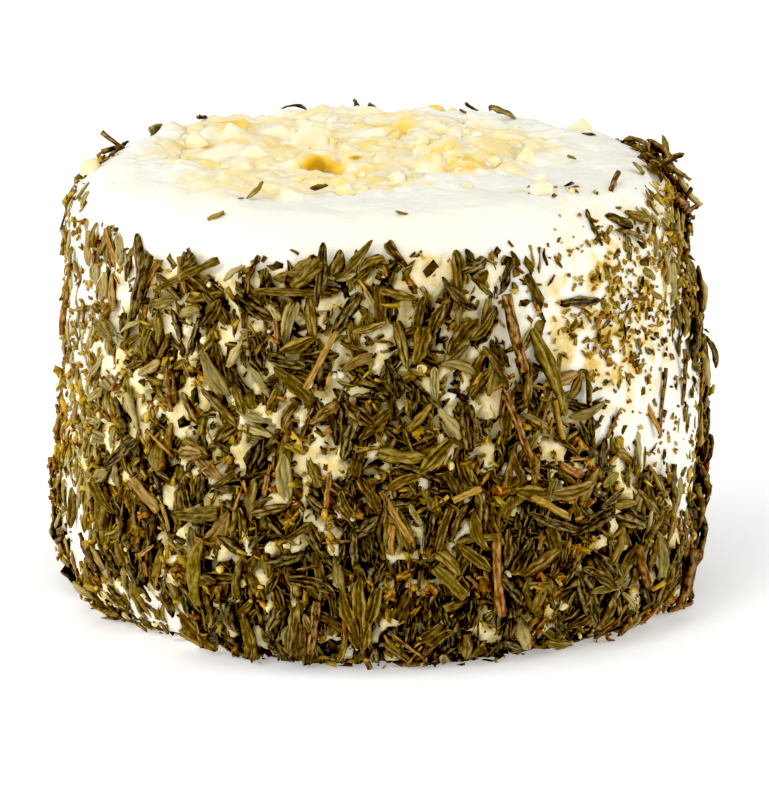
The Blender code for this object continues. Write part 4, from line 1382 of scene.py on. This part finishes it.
FLAKE = dried_herb("thyme_flake", (
    "#2a1204", "#6c2a0a", "#8e4a12", "#62490a", "#8f7012", "#b8931f", "#dabb54"), "#c0a044")


def flake_crowd(turn, rise):
    """Flakes are thick where the herb is small, thin elsewhere, and thinnest on the bare patches."""
    height = height_at(rise)
    bare = patches(turn, height, FLAKED_PATCHES)
    return np.clip(herb_cover(turn, rise) * (0.24 + 0.76 * small_herb(turn, rise)) + bare, 0, 1)


def make_flakes():
    turn, rise = scatter(FLAKES, flake_draw, flake_crowd)
    length = (0.25 + 1.3 * flake_draw.beta(1.2, 2.6, FLAKES)) * MM
    length *= 1 - 0.35 * (1 - smooth_step(0, 0.4, herb_cover(turn, rise)))
    width = length * flake_draw.uniform(0.2, 0.6, FLAKES)
    thickness = flake_draw.uniform(0.12, 0.28, FLAKES) * MM
    slant = flake_draw.uniform(0, 2 * math.pi, FLAKES)
    sizes = (length, width, thickness)
    room, lift, slope = settle_all(turn, rise, slant, sizes, most=1.5 * MM, hidden=0.35)
    roll = flake_draw.normal(0, 0.4, FLAKES)
    slope = slope + flake_draw.normal(0, 0.15, FLAKES)
    local = plates(sizes, flake_draw)
    points = on_cheese(local, turn, rise, slant, lift + 0.1 * MM, slope, roll)[room]
    points[..., 2] = np.maximum(points[..., 2], FLOOR_GAP)
    tone = flake_draw.uniform(0, 1, FLAKES) ** (1 - 0.4 * small_herb(turn, rise))
    ridge = flake_draw.uniform(0.5, 1, FLAKES)[room]
    values = {"tone": tone[room], "ridge": ridge, **lengths_and_widths(local[room])}
    return strewn_piece("herb_flakes", points, FLECK_FACES, FLAKE, values)


flakes = make_flakes()
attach(flakes, "root")


def stain_and_shade_curd():
    """Stains the cheese where herbs lie near, partly as painted shade: the average of the crust's cover
    around each point.
    """
    cover = softened((crust > 0.25 * MM).astype(float), 4, 2)
    points = np.array([vert.co for vert in cheese.data.vertices])
    turn = np.arctan2(points[:, 0], -points[:, 1])
    radius = np.hypot(points[:, 0], points[:, 1])
    height = np.clip(points[:, 2], 0, HEIGHT)
    rise = np.interp(height, SKIN_HEIGHT[:-ONTO_TOP_STEPS], SKIN_RISE[:-ONTO_TOP_STEPS])
    column = np.rint(turn * CELLS_ROUND / (2 * math.pi)).astype(int) % CELLS_ROUND
    row = np.clip(np.rint(rise / CELL).astype(int), 0, CELLS_UP - 1)
    near_herbs = smooth_step(0.1, 0.5, herb_cover(turn, rise))
    # painted shade and stain: curd among thick herbs is painted cream, for oil and for the shade of the
    # herbs
    stain_and_shade = 0.52 * smooth_step(0.2, 0.75, cover[column, row]) * near_herbs
    blotched = smooth_step(-0.2, 0.35, mottle(points, 1.6 * MM, 12))
    tanned = soft_patch(turn, height, 50, 30, 26, 10) * blotched
    stain_and_shade = np.maximum(stain_and_shade, 0.85 * tanned) * (radius > 20 * MM)
    layer = cheese.data.attributes.new("stain_and_shade", "FLOAT", "POINT")
    layer.data.foreach_set("value", stain_and_shade.astype(np.float32))


stain_and_shade_curd()


# The floor, lights and camera
#
# A white floor under broad, soft light, most of it from above. The camera stands at the photo's own
# angle and distance.

LOOK_AT = Vector((0.59 * MM, 0, 17.9 * MM))
CAMERA_AWAY = 0.600
CAMERA_ELEVATION = math.radians(13.7)
LENS = 293.8


def make_floor():
    bpy.ops.mesh.primitive_plane_add(size=6, location=(0, 0, 0))
    floor = bpy.context.object
    floor.name = "floor"
    material, tree, shader = new_material("white_paper")
    set_values(shader, {
        "Base Color": linear("#ececec"), "Emission Color": (1, 1, 1, 1), "Emission Strength": 0.34,
        "Roughness": 0.9, "Specular IOR Level": 0.1})
    floor.data.materials.append(material)
    return floor


def make_lights():
    world = bpy.data.worlds.new("white_room")
    bpy.context.scene.world = world
    world.use_nodes = True
    world.node_tree.nodes["Background"].inputs["Color"].default_value = (1, 1, 1, 1)
    world.node_tree.nodes["Background"].inputs["Strength"].default_value = 0.49
    for name, place, size, power in (
        ("top_box", (-0.10, -0.12, 0.75), 0.5, 0.95),
        ("front_box", (-0.45, -0.8, 0.55), 0.5, 4.3),
        ("left_card", (-0.75, -0.05, 0.22), 0.5, 2.4),
        ("right_card", (0.75, -0.05, 0.22), 0.5, 2.75),
    ):
        light = bpy.data.lights.new(name, "AREA")
        light.shape = "DISK"
        light.size = size
        light.energy = power
        lamp = bpy.data.objects.new(name, light)
        lamp.location = place
        lamp.rotation_euler = (Vector((0, 0, 0.02)) - Vector(place)).to_track_quat("-Z", "Y").to_euler()
        bpy.context.scene.collection.objects.link(lamp)


def make_camera():
    lens = bpy.data.cameras.new("camera")
    lens.lens = LENS
    camera = bpy.data.objects.new("camera", lens)
    back = Vector((0, -math.cos(CAMERA_ELEVATION), math.sin(CAMERA_ELEVATION)))
    camera.location = LOOK_AT + back * CAMERA_AWAY
    camera.rotation_euler = (-back).to_track_quat("-Z", "Y").to_euler()
    bpy.context.scene.collection.objects.link(camera)
    bpy.context.scene.camera = camera


make_floor()
make_lights()
make_camera()
view = bpy.context.scene.view_settings
view.view_transform = "Standard"
view.use_curve_mapping = True
view.curve_mapping.black_level = (0.019, 0.019, 0.019)
view.curve_mapping.update()
